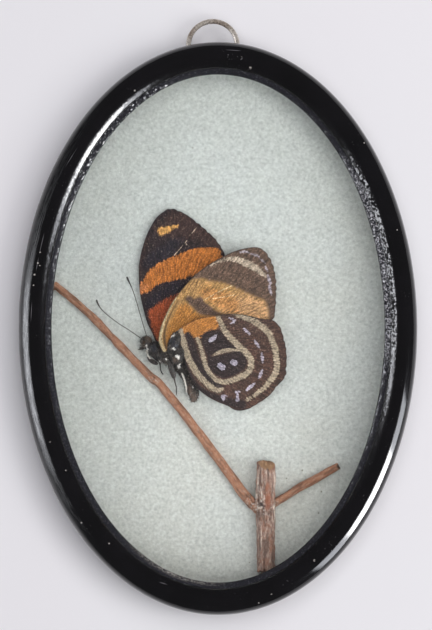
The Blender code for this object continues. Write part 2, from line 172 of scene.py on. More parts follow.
# How deep the bark's relief is: everywhere, more on the stem, more at the fork, and the fork's lumps
BARK_DEPTH = 0.16
STEM_BARK_DEPTH = 0.20
FORK_BARK_DEPTH = 0.16
FORK_LUMPS = 0.22
# Where the stem frays at its foot and its top, where its top is broken off round, and the middle of that
STEM_FOOT = -49.6
STEM_FRAYED_FROM = -28.2
STEM_TOP = -28.4
STEM_MIDDLE = 9.9
# The lowest that bark comes over the paper, and what keeps the map of one twig piece clear of the next
LOWEST_BARK = 0.03
BARK_MAP_STEP = 100

# Far forewing, which shows its orange and black upper side
FAR_FOREWING = [
    (-12.9, -3.0), (-13.8, -1.0), (-14.9, 1.3), (-15.8, 4.6), (-16.3, 7.0), (-16.5, 8.8), (-16.6, 10.8),
    (-16.6, 12.8), (-16.3, 15.1), (-15.7, 17.5), (-14.9, 19.8), (-14.1, 21.4), (-13.0, 23.2), (-11.5, 24.5),
    (-10.2, 25.1), (-8.7, 24.9), (-6.5, 23.8), (-4.5, 22.3), (-2.8, 20.9), (-0.8, 19.0), (0.7, 16.9),
    (1.7, 14.9), (3.0, 11.4), (-2.0, 4.5), (-8.6, -2.1), (-11.2, -3.7),
]
FAR_FOREWING_BAND = [
    (-17.2, 8.7), (-16.4, 9.4), (-15.6, 10.1), (-15.0, 11.2), (-14.5, 12.1), (-12.8, 13.4), (-11.2, 14.3),
    (-9.8, 14.9), (-8.2, 15.6), (-6.3, 16.3), (-4.4, 16.9), (-2.5, 17.0), (-0.6, 16.9), (0.2, 16.6),
    (0.6, 15.6), (0.9, 14.0), (-1.0, 11.0), (-5.8, 11.0), (-6.8, 10.5), (-8.7, 10.3), (-10.3, 9.9),
    (-11.9, 9.6), (-13.2, 8.9), (-14.2, 7.9), (-15.2, 7.5), (-16.2, 7.3), (-17.2, 7.2),
]
FAR_FOREWING_BASE = [
    (-14.5, 3.3), (-14.2, 3.8), (-12.9, 4.9), (-10.9, 6.1), (-8.8, 7.0), (-6.0, 6.5), (-8.0, 0.0),
    (-11.6, -4.6), (-12.6, -2.6), (-13.3, -1.1), (-13.8, 0.3), (-14.3, 2.0),
]
FAR_FOREWING_SPOT = [
    (-12.7, 20.8), (-12.0, 21.2), (-10.7, 21.35), (-9.3, 21.65), (-8.4, 21.7), (-8.6, 21.35), (-9.55, 20.8),
    (-10.1, 20.2), (-11.3, 19.9), (-12.2, 19.5), (-12.6, 19.9),
]

# Near forewing, which shows its buff and brown underside
NEAR_FOREWING = [
    (-11.3, -5.1), (-12.2, -3.4), (-12.4, -1.9), (-11.9, 0.5), (-10.8, 3.1), (-9.4, 5.8), (-7.6, 8.1),
    (-5.9, 10.1), (-4.7, 11.3), (-2.9, 12.7), (-1.1, 13.9), (0.8, 14.9), (2.5, 15.8), (4.4, 16.5),
    (6.2, 16.9), (7.7, 17.05), (8.9, 16.8), (9.9, 16.0), (10.6, 15.1), (11.1, 14.1), (11.6, 12.8),
    (11.9, 11.4), (12.1, 9.9), (12.15, 7.7), (12.1, 5.9), (11.9, 4.1), (11.6, 2.1), (9.5, 0.9), (7.5, 0.2),
    (0.0, -0.8), (-6.5, -2.9), (-10.4, -5.2),
]
NEAR_FOREWING_BROWN = [
    (-8.6, 7.6), (-7.3, 9.4), (-6.2, 10.0), (-5.2, 10.4), (-3.5, 10.6), (-1.9, 10.1), (-0.5, 9.9),
    (0.8, 9.7), (2.6, 9.1), (4.4, 8.3), (5.6, 7.7), (6.9, 7.1), (8.3, 6.5), (9.7, 5.9), (10.2, 4.9),
    (10.6, 3.5), (10.9, 1.6), (14.0, 0.8), (14.0, 20.0), (-9.0, 20.0), (-10.5, 9.0),
]
NEAR_FOREWING_BAR = [
    (-7.1, 6.2), (-5.8, 6.8), (-4.95, 6.2), (-3.8, 6.65), (-2.8, 5.5), (-2.05, 4.95), (-1.05, 4.15),
    (0.2, 3.35), (1.4, 2.9), (0.0, 2.6), (-1.8, 2.7), (-3.2, 2.85), (-4.5, 3.6), (-5.2, 4.4), (-6.25, 5.4),
]
NEAR_FOREWING_CREAM = [
    (-1.6, 13.2, 0.18), (-0.2, 13.9, 0.26), (0.8, 14.2, 0.40), (1.9, 14.5, 0.62), (3.1, 14.5, 0.90),
    (4.8, 14.2, 1.32), (6.7, 13.3, 1.42), (8.2, 12.4, 1.20), (9.3, 11.5, 0.86), (10.0, 10.9, 0.45),
]
NEAR_FOREWING_COSTA = [
    (-10.6, -5.4, 0.8), (-11.35, -4.8, 1.1), (-11.95, -3.7, 1.15), (-12.2, -2.2, 1.05), (-12.0, -0.6, 0.9),
    (-11.4, 1.4, 0.72), (-10.5, 3.5, 0.6), (-9.6, 5.2, 0.45), (-8.7, 6.5, 0.25),
]
NEAR_FOREWING_COSTA_SHADE = [
    (-10.9, -4.1, 0.45), (-11.25, -2.0, 0.5), (-11.1, -0.4, 0.4), (-10.5, 1.6, 0.3), (-9.6, 3.6, 0.22),
    (-8.4, 5.8, 0.15),
]
NEAR_FOREWING_LILAC = [
    [(4.6, 16.0, 0.34), (5.6, 16.1, 0.44), (6.5, 15.9, 0.34)],
    [(7.0, 15.6, 0.34), (7.8, 15.4, 0.50), (8.5, 15.1, 0.40)],
    [(8.8, 14.6, 0.30), (9.3, 14.2, 0.40), (9.8, 13.7, 0.30)],
    [(9.9, 12.9, 0.26), (10.2, 12.4, 0.34), (10.4, 11.9, 0.24)],
    [(10.4, 11.1, 0.40), (10.7, 10.2, 0.62), (11.0, 9.5, 0.42)],
    [(10.8, 9.0, 0.44), (10.9, 8.1, 0.56), (11.15, 7.1, 0.34)],
]
NEAR_FOREWING_FRINGE = [
    [(11.35, 13.9, 0.22), (11.55, 13.4, 0.18)], [(12.02, 10.7, 0.22), (12.08, 10.2, 0.2)],
    [(12.12, 8.2, 0.22), (12.13, 7.8, 0.2)], [(12.0, 6.8, 0.18), (12.05, 6.4, 0.18)],
]
NEAR_FOREWING_PALE_VEIN = [
    [(-3.0, 5.9, 0.10), (0.2, 7.7, 0.16), (2.9, 9.0, 0.12)], [(-1.2, 6.2, 0.10), (3.4, 7.0, 0.12)],
]
FAR_FOREWING_PALE_VEIN = [
    [(-4.3, 21.4, 0.10), (-5.9, 19.6, 0.14)], [(-6.6, 18.4, 0.12), (-9.2, 15.3, 0.14)],
    [(-6.7, 17.8, 0.14), (-6.1, 17.3, 0.12)],
]
NEAR_FOREWING_ORANGE = [
    (-10.6, -4.8), (-10.9, -1.6), (-10.0, 1.4), (-8.4, 4.2), (-6.8, 5.2), (-5.4, 4.0), (-3.6, 2.8),
    (-1.0, 2.2), (0.0, -2.0), (-6.0, -4.0),
]

# Near hindwing, which shows its ringed underside
HINDWING = [
    (-8.3, -0.5), (-8.0, -0.05), (-5.9, 1.2), (-4.4, 2.0), (-2.5, 2.4), (0.1, 2.7), (1.9, 3.0), (4.6, 2.95),
    (7.2, 2.5), (9.1, 2.0), (11.4, 1.75), (12.9, 0.3), (13.6, -1.8), (14.1, -3.8), (14.3, -6.0), (14.2, -8.3),
    (14.0, -10.1), (12.5, -11.7), (11.3, -13.4), (9.9, -14.6), (8.5, -15.5), (7.3, -16.3), (6.1, -16.8),
    (4.9, -17.0), (3.7, -16.8), (2.5, -16.1), (0.1, -15.2), (-1.7, -14.3), (-3.4, -13.1), (-4.7, -11.9),
    (-5.9, -9.9), (-6.7, -7.8), (-7.2, -5.9), (-9.4, -5.4), (-10.2, -3.8), (-9.2, -1.9),
]
HINDWING_OUTER_RING = [
    (3.3, 3.1, 0.5), (4.3, 2.75, 0.95), (5.5, 2.35, 1.10), (7.2, 1.6, 1.20), (8.5, 0.85, 1.22),
    (9.9, -0.2, 1.20), (10.8, -1.4, 1.18), (11.5, -3.0, 1.18), (12.0, -4.5, 1.20), (12.2, -6.3, 1.22),
    (12.3, -7.8, 1.22), (12.1, -9.2, 1.20), (11.3, -10.4, 1.15), (10.5, -11.4, 1.05), (9.6, -12.5, 0.90),
    (8.5, -13.4, 0.85), (7.5, -14.1, 0.70),
]
HINDWING_OUTER_SPOT = [(6.7, -14.6, 0.80), (6.2, -14.9, 0.85)]
HINDWING_INNER_RING = [
    (0.0, 2.4, 0.9), (0.3, 1.6, 0.95), (0.8, 0.8, 1.00), (1.3, -0.3, 1.10), (2.2, -1.5, 1.18),
    (3.4, -2.7, 1.20), (4.6, -3.9, 1.22), (5.8, -5.0, 1.22), (6.6, -6.0, 1.25), (6.95, -7.2, 1.25),
    (6.7, -8.5, 1.25), (5.9, -9.5, 1.20), (4.6, -10.2, 1.20), (3.1, -10.8, 1.15), (1.6, -11.2, 1.05),
    (0.4, -11.1, 0.95), (-0.8, -10.4, 0.88), (-1.8, -9.2, 0.85), (-2.6, -7.8, 0.85), (-3.0, -6.3, 0.85),
    (-3.4, -4.8, 0.85), (-3.8, -3.3, 0.80), (-4.3, -2.1, 0.70),
]
HINDWING_LENS = [
    (-1.1, -5.65, 0.12), (0.0, -5.1, 0.72), (1.4, -4.7, 0.88), (2.8, -4.5, 0.66), (4.5, -4.6, 0.2),
]
HINDWING_INNER_BAND = [
    (-7.8, -0.3, 0.9), (-7.5, -1.6, 1.05), (-7.2, -2.8, 1.15), (-6.7, -4.8, 1.22), (-5.8, -6.9, 1.22),
    (-4.4, -9.3, 1.20), (-2.6, -11.3, 1.15), (-0.8, -12.7, 1.10), (0.3, -13.0, 0.95), (0.9, -12.6, 0.5),
]
HINDWING_DARK_BAND = [
    (-6.2, -1.0, 0.9), (-5.9, -2.2, 1.35), (-5.5, -3.4, 1.5), (-4.7, -6.0, 1.5), (-3.9, -7.7, 1.5),
    (-3.0, -9.2, 1.5), (-1.9, -10.5, 1.4), (-0.6, -11.6, 1.3), (0.6, -12.2, 0.9),
]
HINDWING_EDGE_BAND = [
    (-8.0, -3.8, 0.5), (-7.4, -5.8, 0.6), (-6.6, -8.0, 0.8), (-5.6, -10.2, 0.9), (-4.2, -12.2, 0.95),
    (-2.2, -13.6, 1.0), (0.2, -14.6, 1.1), (2.5, -15.4, 1.6), (5.0, -15.9, 1.8),
]
HINDWING_UPPER_LOBE = [
    (-3.5, -2.4), (-3.2, -1.4), (-2.4, -0.7), (-1.6, -0.35), (-0.8, -0.25), (0.2, -0.4), (0.8, -0.8),
    (1.3, -1.6), (2.1, -2.6), (3.2, -3.5), (4.4, -4.1), (3.4, -4.2), (2.0, -4.3), (0.6, -4.6), (-0.8, -5.1),
    (-1.6, -5.6), (-2.2, -5.8), (-2.7, -4.6), (-3.2, -3.4),
]
HINDWING_LOWER_LOBE = [
    (-2.2, -5.6), (-1.4, -5.9), (0.0, -5.6), (1.6, -5.3), (3.2, -4.9), (4.4, -4.6), (5.4, -5.4),
    (5.9, -6.4), (6.0, -7.3), (5.6, -8.3), (4.6, -9.1), (3.2, -9.8), (1.8, -10.3), (0.8, -10.3),
    (-0.3, -9.8), (-1.3, -8.9), (-2.1, -7.7), (-2.4, -6.6),
]
HINDWING_ORANGE = [
    (-8.4, -0.2), (-7.0, 0.8), (-5.9, 1.4), (-4.4, 2.2), (-2.5, 2.8), (-0.4, 3.1), (0.1, 1.6), (0.0, 0.5),
    (-0.8, -0.1), (-2.0, -0.4), (-3.0, -0.9), (-3.7, -1.9), (-4.4, -2.0), (-5.2, -1.6), (-5.8, -0.9),
    (-6.2, -0.6), (-6.8, -0.9), (-7.4, -1.4), (-8.0, -1.2),
]
HINDWING_LILAC = [
    [(-1.6, -2.5, 0.75), (-1.0, -2.05, 1.0), (-0.5, -1.55, 0.4)], [(-0.7, -1.6, 0.3), (-0.3, -1.3, 0.2)],
    [(0.35, -7.75, 1.1), (0.95, -8.15, 1.15)], [(3.1, -7.1, 1.15), (3.5, -7.25, 1.1)],
    [(2.3, 2.2, 0.25), (3.1, 1.9, 0.5), (3.4, 1.1, 0.25)], [(2.6, 0.9, 0.2), (3.6, 1.7, 0.2)],
    [(5.4, -0.1, 0.3), (6.0, -0.55, 0.65), (6.6, -1.2, 0.35)],
    [(7.6, -2.5, 0.3), (8.1, -3.2, 0.6), (8.6, -4.0, 0.35)],
    [(9.1, -5.2, 0.4), (9.25, -6.1, 0.65), (9.35, -7.1, 0.35)],
    [(9.3, -8.7, 0.35), (8.9, -9.6, 0.6), (8.5, -10.4, 0.3)],
    [(7.6, -11.6, 0.4), (6.8, -12.2, 0.7), (6.0, -12.9, 0.4)], [(3.7, -13.3, 0.5), (4.4, -13.25, 0.4)],
    [(4.0, -13.5, 0.3), (4.05, -14.3, 0.45), (4.1, -15.0, 0.7)],
    [(0.9, -14.1, 0.5), (1.1, -14.6, 0.8), (1.0, -14.9, 0.4)], [(1.1, -14.0, 0.25), (1.9, -14.2, 0.2)],
]
WING_THICKNESS = 0.11
WING_SPACING = 0.13
VEIN_RISE = 0.05
VEIN_WIDTH = 0.16
# Height and length of the sheet's faint wrinkles
WING_WRINKLE = 0.03
WING_WRINKLE_LENGTH = 2.2
# The rows of scales are mapped on a circle of this radius round the wing's base
SCALES_RADIUS = 14.0
# How far the far hindwing is turned behind the near one, in degrees
FAR_HINDWING_TURN = -1.6
# Where the veins end on each wing's margin
FAR_FOREWING_VEIN_ENDS = [
    (-15.5, 17.5), (-13.4, 22.2), (-10.5, 24.6), (-6.8, 23.6), (-3.6, 21.2), (-1.0, 18.9), (1.0, 16.2),
]
NEAR_FOREWING_VEIN_ENDS = [
    (4.0, 16.2), (8.5, 16.6), (10.8, 14.4), (11.8, 11.6), (12.0, 8.6), (11.9, 5.6), (11.4, 2.6),
    (-3.0, 12.3),
]
HINDWING_VEIN_ENDS = [
    (4.6, 2.6), (9.0, 1.6), (12.6, -0.2), (13.9, -4.2), (14.1, -8.4), (12.2, -12.0), (8.2, -15.4),
    (4.6, -16.6), (1.0, -15.3), (-3.0, -13.0),
]

# What is drawn on each wing. Rows of three numbers are strokes as x, y and width, rows of two are patches.
FAR_FOREWING_MARKS = {
    "band": [FAR_FOREWING_BAND],
    "band_end": [[(-16.6, 8.2, 0.8), (-15.2, 8.9, 0.6)]],
    "base": [FAR_FOREWING_BASE],
    "spot": [FAR_FOREWING_SPOT],
    "pale_vein": FAR_FOREWING_PALE_VEIN,
    "brown": [
        [
            (-13.5, 21.0), (-11.0, 19.3), (-4.0, 18.4), (0.5, 15.5), (1.5, 18.0), (-3.0, 22.5), (-8.0, 26.0),
            (-13.0, 25.0),
        ],
        [(-16.4, 8.6, 0.9), (-16.6, 12.8, 0.9), (-15.2, 19.0, 0.9)],
    ],
    "blue": [
        [(-15.0, 13.8, 2.6), (-12.0, 15.6, 2.8), (-9.0, 18.2, 2.4), (-7.6, 19.4, 1.4)],
        [(-14.6, 5.2, 1.8), (-11.6, 7.4, 2.2), (-8.0, 9.0, 1.8)],
    ],
}
NEAR_FOREWING_MARKS = {
    "pale": [[(3.0, 4.5, 3.4), (6.0, 4.6, 4.4), (9.8, 3.6, 4.4)]],
    "warm": [[(-2.6, 7.6, 2.0), (0.2, 6.4, 3.0), (3.0, 4.8, 2.6)]],
    "base": [NEAR_FOREWING_ORANGE],
    "brown": [NEAR_FOREWING_BROWN],
    "bar": [NEAR_FOREWING_BAR],
    "costa_shade": [NEAR_FOREWING_COSTA_SHADE],
    "cream": [NEAR_FOREWING_CREAM],
    "costa": [NEAR_FOREWING_COSTA],
    "lilac": NEAR_FOREWING_LILAC,
    "fringe": NEAR_FOREWING_FRINGE,
    "pale_vein": NEAR_FOREWING_PALE_VEIN,
}
HINDWING_MARKS = {
    "dark": [HINDWING_DARK_BAND, HINDWING_EDGE_BAND, HINDWING_UPPER_LOBE, HINDWING_LOWER_LOBE],
    "orange": [HINDWING_ORANGE],
    "cream": [
        HINDWING_OUTER_RING, HINDWING_OUTER_SPOT, HINDWING_INNER_RING, HINDWING_LENS, HINDWING_INNER_BAND,
    ],
    "lilac": HINDWING_LILAC,
}


def point(x, y, z=0.0):
    """A place in millimetres as a vector in metres."""
    return Vector((x, y, z)) * MM


def linear(hex_colour):
    """A hex colour as the four linear values that a shader socket takes."""
    values = [int(hex_colour[i : i + 2], 16) / 255 for i in (1, 3, 5)]
    return [v / 12.92 if v <= 0.04045 else ((v + 0.055) / 1.055) ** 2.4 for v in values] + [1.0]


# Settings that a user would change


def colour_setting(name, description, hex_colour):
    """A colour that the panel offers."""
    return bpy.props.FloatVectorProperty(
        name=name,
        description=description,
        subtype="COLOR",
        size=4,
        min=0.0,
        max=1.0,
        default=linear(hex_colour),
    )


def power_setting(name, description, watts):
    """A lamp's power that the panel offers."""
    return bpy.props.FloatProperty(name=name, description=description, default=watts, min=0.0, unit="POWER")


class FramedButterflyFrame(bpy.types.PropertyGroup):
    """Sizes and finishes of the frame, its glass, paper, board and loop."""

    glass_rise: bpy.props.FloatProperty(
        name="Glass rise", description="How far the glass bulges", default=GLASS_RISE * MM, unit="LENGTH"
    )
    wire: bpy.props.FloatProperty(
        name="Loop wire", description="Thickness of the loop's wire", default=LOOP_WIRE * MM, unit="LENGTH"
    )
    lacquer: colour_setting("Lacquer", "Colour of the lacquered wood", "#0A090B")
    paper: colour_setting("Paper", "Colour of the paper ground", "#CFD2CD")
    board: colour_setting("Board", "Colour of the board at the back", "#7A624A")
    steel: colour_setting("Wire", "Colour of the loop's dull steel", "#DAD2C8")


class FramedButterflyTwig(bpy.types.PropertyGroup):
    """Finish of the twig."""

    bark: colour_setting("Bark", "Colour of the thick stem's bark", "#A28578")
    young_bark: colour_setting("Young bark", "Colour of the thin branches", "#B07D61")


class FramedButterflyInsect(bpy.types.PropertyGroup):
    """Colours of the butterfly."""

    black: colour_setting("Black scales", "Ground of the far forewing", "#2A1E20")
    orange: colour_setting("Orange scales", "Bands of the far forewing", "#B66C2D")
    buff: colour_setting("Buff scales", "Ground of the near forewing", "#AD8453")
    brown: colour_setting("Brown scales", "Ground of the near hindwing", "#49332A")
    cream: colour_setting("Cream scales", "Rings and bands", "#A2927D")
    lilac: colour_setting("Lilac scales", "Spots and short marks", "#A9A1AE")
    body: colour_setting("Body", "Colour of the body", "#211B18")


class FramedButterflyStage(bpy.types.PropertyGroup):
    """Light and floor."""

    floor: colour_setting("Floor", "Colour of the plain floor", "#F0F0F3")
    key: power_setting("Key", "Power of the soft light from the right", 1.7)
    overhead: power_setting("Overhead", "Power of the soft light above", 7.1)
    window: power_setting("Window", "Power of the window that shows in the lacquer", 13.0)


# Shader nodes


def socket_name(word):
    """The name of the shader's socket that a plain word stands for."""
    return word.replace("_", " ").title().replace("Ior", "IOR")


def new_material(name, **values):
    """A node material with these values set on its shader's own sockets."""
    made = bpy.data.materials.new(name)
    made.use_nodes = True
    shader = made.node_tree.nodes["Principled BSDF"]
    for word, value in values.items():
        shader.inputs[socket_name(word)].default_value = value
    return made, made.node_tree, shader


def connect(tree, shader, **outputs):
    """Links these outputs to the shader's sockets."""
    for word, output in outputs.items():
        tree.links.new(output, shader.inputs[socket_name(word)])


def add(tree, kind, inputs=None, out=None, **settings):
    """Adds a node with its settings, values and links, and gives the output that is named or its first."""
    node = tree.nodes.new("ShaderNode" + kind)
    for name, value in settings.items():
        setattr(node, name, value)
    for key, value in (inputs or {}).items():
        if isinstance(value, bpy.types.NodeSocket):
            tree.links.new(value, node.inputs[key])
        else:
            node.inputs[key].default_value = value
    return node.outputs[out] if out else next(s for s in node.outputs if s.enabled)


def paint(tree, base, layers):
    """Lays colours over the base one after the other, each where its mask is. A colour may be hex."""
    for mask, colour in layers:
        tint = linear(colour) if isinstance(colour, str) else colour
        base = add(tree, "Mix", {0: mask, 6: base, 7: tint}, data_type="RGBA")
    return base


def product(tree, *masks):
    """The place that all these masks share. A plain number thins it."""
    whole = masks[0]
    for mask in masks[1:]:
        whole = add(tree, "Math", {0: whole, 1: mask}, operation="MULTIPLY")
    return whole


def grain(tree, size, detail=3.0, where=None, roughness=0.55):
    """Noise whose grains are about this many millimetres."""
    inputs = {"Scale": 1 / (size * MM), "Detail": detail, "Roughness": roughness}
    inputs["Vector"] = where or add(tree, "TexCoord", out="Object")
    return add(tree, "TexNoise", inputs)


def between(tree, value, low, high, to_low=0.0, to_high=1.0):
    """A smooth step of the value from low to high."""
    inputs = {"Value": value, "From Min": low, "From Max": high, "To Min": to_low, "To Max": to_high}
    return add(tree, "MapRange", inputs, interpolation_type="SMOOTHSTEP")


def near(tree, where, places, soft=0.6):
    """A mask of round spots, each given as x, y and radius."""
    flat = add(tree, "VectorMath", {0: where, 1: (1.0, 1.0, 0.0)}, operation="MULTIPLY")
    whole = None
    for x, y, radius in places:
        gap = add(tree, "VectorMath", {0: flat, 1: point(x, y)}, out="Value", operation="DISTANCE")
        spot = between(tree, gap, radius * MM, radius * (1 - soft) * MM)
        whole = add(tree, "Math", {0: whole, 1: spot}, operation="MAXIMUM") if whole else spot
    return whole


def scratched(tree, where, scratches):
    """A mask of thin scratches, each given as x, y, half length, half width and turn."""
    flat = add(tree, "VectorMath", {0: where, 1: (1.0, 1.0, 0.0)}, operation="MULTIPLY")
    whole = None
    for x, y, half_length, half_width, turn in scratches:
        inputs = {"Vector": flat, "Location": point(x, y), "Rotation": (0.0, 0.0, math.radians(turn))}
        inputs["Scale"] = (half_length * MM, half_width * MM, 1.0)
        placed = add(tree, "Mapping", inputs, vector_type="TEXTURE")
        gap = add(tree, "VectorMath", {0: placed}, out="Value", operation="LENGTH")
        mark = between(tree, gap, 1.0, 0.3)
        whole = add(tree, "Math", {0: whole, 1: mark}, operation="MAXIMUM") if whole else mark
    return whole


# Meshes


def oval_place(turn, inset):
    """The place on the frame's outline at this turn, moved inwards by inset."""
    half_x, half_y = FRAME_WIDTH / 2, FRAME_LENGTH / 2
    across = Vector((half_y * math.cos(turn), half_x * math.sin(turn))).normalized()
    return Vector((half_x * math.cos(turn), half_y * math.sin(turn))) - across * inset


def linked_object(name, mesh, finishes):
    """An object of this mesh at the origin, smooth, with these materials."""
    made = bpy.data.objects.new(name, mesh)
    bpy.context.scene.collection.objects.link(made)
    for finish in finishes:
        mesh.materials.append(finish)
    mesh.shade_smooth()
    return made


def mesh_object(name, bm, finishes, sharp=None):
    """An object at the origin from the bmesh, smooth, with edges over the sharp angle left hard."""
    mesh = bpy.data.meshes.new(name)
    bm.to_mesh(mesh)
    bm.free()
    made = linked_object(name, mesh, finishes)
    if sharp:
        mesh.set_sharp_from_angle(angle=math.radians(sharp))
    return made


def spun(line, steps, closed=False):
    """A line of (reach, height), spun once round the upright axis."""
    bm = bmesh.new()
    start = [bm.verts.new((reach, 0.0, height)) for reach, height in line]
    following = start[1:] + start[:1] if closed else start[1:]
    edges = [bm.edges.new(pair) for pair in zip(start, following)]
    bmesh.ops.spin(
        bm, geom=start + edges, cent=(0, 0, 0), axis=(0, 0, 1), angle=2 * math.pi, steps=steps, use_merge=True
    )
    return bm


def faces_up(bm):
    """Makes the faces of an open sheet look up."""
    bmesh.ops.recalc_face_normals(bm, faces=bm.faces)
    if sum(face.normal.z for face in bm.faces) < 0:
        bmesh.ops.reverse_faces(bm, faces=bm.faces)


def settle(made, slot, *nodes):
    """The piece rides on the frame and stands for these CAD nodes, which it hides. The slot is not used."""
    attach(made, "root")
    if nodes:
        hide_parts(*nodes)
    return made


def vertex_places(mesh):
    """The mesh's vertices in millimetres, one row each."""
    places = np.empty(len(mesh.vertices) * 3)
    mesh.vertices.foreach_get("co", places)
    return places.reshape(-1, 3) / MM


def vertex_normals(mesh):
    """The mesh's vertex normals, one row each."""
    normals = np.empty(len(mesh.vertices) * 3)
    mesh.vertices.foreach_get("normal", normals)
    return normals.reshape(-1, 3)


def write_places(mesh, places):
    """Moves the mesh's vertices to these places in millimetres."""
    mesh.vertices.foreach_set("co", (places * MM).ravel())
    mesh.update()


def write_attribute(mesh, name, values):
    """A number for each vertex, for the material to read."""
    layer = mesh.attributes.new(name, "FLOAT", "POINT")
    layer.data.foreach_set("value", np.asarray(values, np.float32))


def write_map(mesh, name, across, along, period=None):
    """A map of the mesh in millimetres. Where it closes after a period, no face runs back over all of it."""
    corners = np.empty(len(mesh.loops), int)
    mesh.loops.foreach_get("vertex_index", corners)
    flat = np.stack([across[corners], along[corners]], 1)
    if period:
        sizes = np.empty(len(mesh.polygons), int)
        mesh.polygons.foreach_get("loop_total", sizes)
        face = np.repeat(np.arange(len(sizes)), sizes)
        highest = np.full(len(sizes), -np.inf)
        np.maximum.at(highest, face, flat[:, 0])
        flat[:, 0] += period * (highest[face] - flat[:, 0] > period / 2)
    mesh.uv_layers.new(name=name).data.foreach_set("uv", flat.astype(np.float32).ravel())


def one_skin(name, bm, voxel):
    """The closed forms in the bmesh grown into one mesh, with faces of about this many millimetres."""
    rough = mesh_object(name, bm, [])
    skin = rough.modifiers.new("skin", "REMESH")
    skin.mode = "VOXEL"
    skin.voxel_size = voxel * MM
    bpy.context.view_layer.update()
    graph = bpy.context.evaluated_depsgraph_get()
    mesh = bpy.data.meshes.new_from_object(rough.evaluated_get(graph))
    bpy.data.objects.remove(rough)
    return mesh


def sweep(bm, path, sides):
    """A closed round form along points given as x, y, z and radius in millimetres."""
    places = [Vector(p[:3]) for p in path]
    ring = bmesh.ops.create_circle(bm, segments=sides, radius=1.0)["verts"]
    rings = [ring]
    edges = list({e for v in ring for e in v.link_edges})
    for _ in path[1:]:
        grown = bmesh.ops.extrude_edge_only(bm, edges=edges)["geom"]
        ring = [g for g in grown if isinstance(g, bmesh.types.BMVert)]
        inside = set(ring)
        edges = [g for g in grown if isinstance(g, bmesh.types.BMEdge) and inside.issuperset(g.verts)]
        rings.append(ring)
    for i, ring in enumerate(rings):
        heading = (places[min(i + 1, len(path) - 1)] - places[max(i - 1, 0)]).normalized()
        side = heading.cross(Vector((0, 0, 1))).normalized()
        turn = Matrix((side, side.cross(heading), heading)).transposed()
        for vert in ring:
            vert.co = (places[i] + turn @ (vert.co * path[i][3])) * MM
        if i in (0, len(path) - 1):
            bmesh.ops.contextual_create(bm, geom=ring)
    bmesh.ops.recalc_face_normals(bm, faces=bm.faces)


def rounded_path(path, steps=4):
    """More points on a smooth curve through the path's points."""
    rows = np.array(path, float)
    last = len(rows) - 1
    made = []
    for i in range(last):
        a, b, c, d = rows[max(i - 1, 0)], rows[i], rows[i + 1], rows[min(i + 2, last)]
        bend, twist = 2 * a - 5 * b + 4 * c - d, 3 * b - a - 3 * c + d
        for k in range(steps):
            t = k / steps
            made.append(0.5 * (2 * b + (c - a) * t + bend * t * t + twist * t**3))
    made.append(rows[last])
    return np.array(made)


def rounded_outline(outline, steps=6):
    """More points on a smooth closed curve through the outline's points."""
    wrapped = outline[-2:] + outline + outline[:2]
    return rounded_path(wrapped, steps)[2 * steps : -2 * steps - steps]


def line_gap(places, line):
    """Each place's distance from the line, its share along the nearest piece, and which piece that is."""
    best = np.full(len(places), 1e9)
    share = np.zeros(len(places))
    piece = np.zeros(len(places), int)
    for i in range(len(line) - 1):
        start, step = line[i, :2], line[i + 1, :2] - line[i, :2]
        t = np.clip(((places - start) @ step) / max(step @ step, 1e-9), 0, 1)
        gap = np.linalg.norm(places - start - t[:, None] * step, axis=1)
        closer = gap < best
        best[closer] = gap[closer]
        share[closer] = t[closer]
        piece[closer] = i
    return best, share, piece


def inside_patch(places, outline):
    """How far inside a closed outline each place lies. Outside it is less than 0."""
    closed = np.vstack([outline, outline[:1]])
    gap = line_gap(places, closed)[0]
    crossings = np.zeros(len(places), int)
    for (ax, ay), (bx, by) in zip(closed[:-1], closed[1:]):
        if ay == by:
            continue
        level = (places[:, 1] >= min(ay, by)) & (places[:, 1] < max(ay, by))
        crossings += level & (places[:, 0] < ax + (places[:, 1] - ay) * (bx - ax) / (by - ay))
    return np.where(crossings % 2 == 1, gap, -gap)


def inside_stroke(places, stroke):
    """How far inside a stroke, given as x, y and width, each place lies."""
    line = rounded_path(stroke, 3)
    gap, share, piece = line_gap(places, line)
    width = line[piece, 2] * (1 - share) + line[piece + 1, 2] * share
    return width / 2 - gap


def inside_marks(places, marks):
    """How far inside the nearest of some strokes and patches each place lies."""
    found = []
    for mark in marks:
        if len(mark[0]) == 3:
            found.append(inside_stroke(places, mark))
        else:
            found.append(inside_patch(places, rounded_outline(mark, 3)))
    return np.max(found, axis=0)


# Frame, glass, paper, board and loop


def slope_heights(slope, height):
    """Turns a slope, given as (in, facing), into (in, height), starting at this height."""
    rows = [(slope[0][0], height)]
    for (inset, facing), (following, next_facing) in zip(slope, slope[1:]):
        height -= abs(following - inset) / math.tan(math.radians((facing + next_facing) / 2))
        rows.append((following, height))
    return rows


def moulding_section():
    """The section of the moulding as (in, height) in millimetres, once round."""
    outer = slope_heights(OUTER_SLOPE, RIM_HEIGHT)
    inner = slope_heights(INNER_SLOPE, RIM_HEIGHT)
    root = inner[-1][1]
    section = [(4.2, 0.0), (0.9, 0.0), (0.62, 0.04), (0.2, 0.42), (0.04, 0.72), (0.0, 1.0), (0.0, 3.0)]
    section += outer[::-1] + inner[1:] + [(inset, root + drop) for inset, drop in LIP]
    return section + [(6.95, LIP_UNDERSIDE), (6.0, LIP_UNDERSIDE), (6.0, 3.0), (4.2, 3.0)]


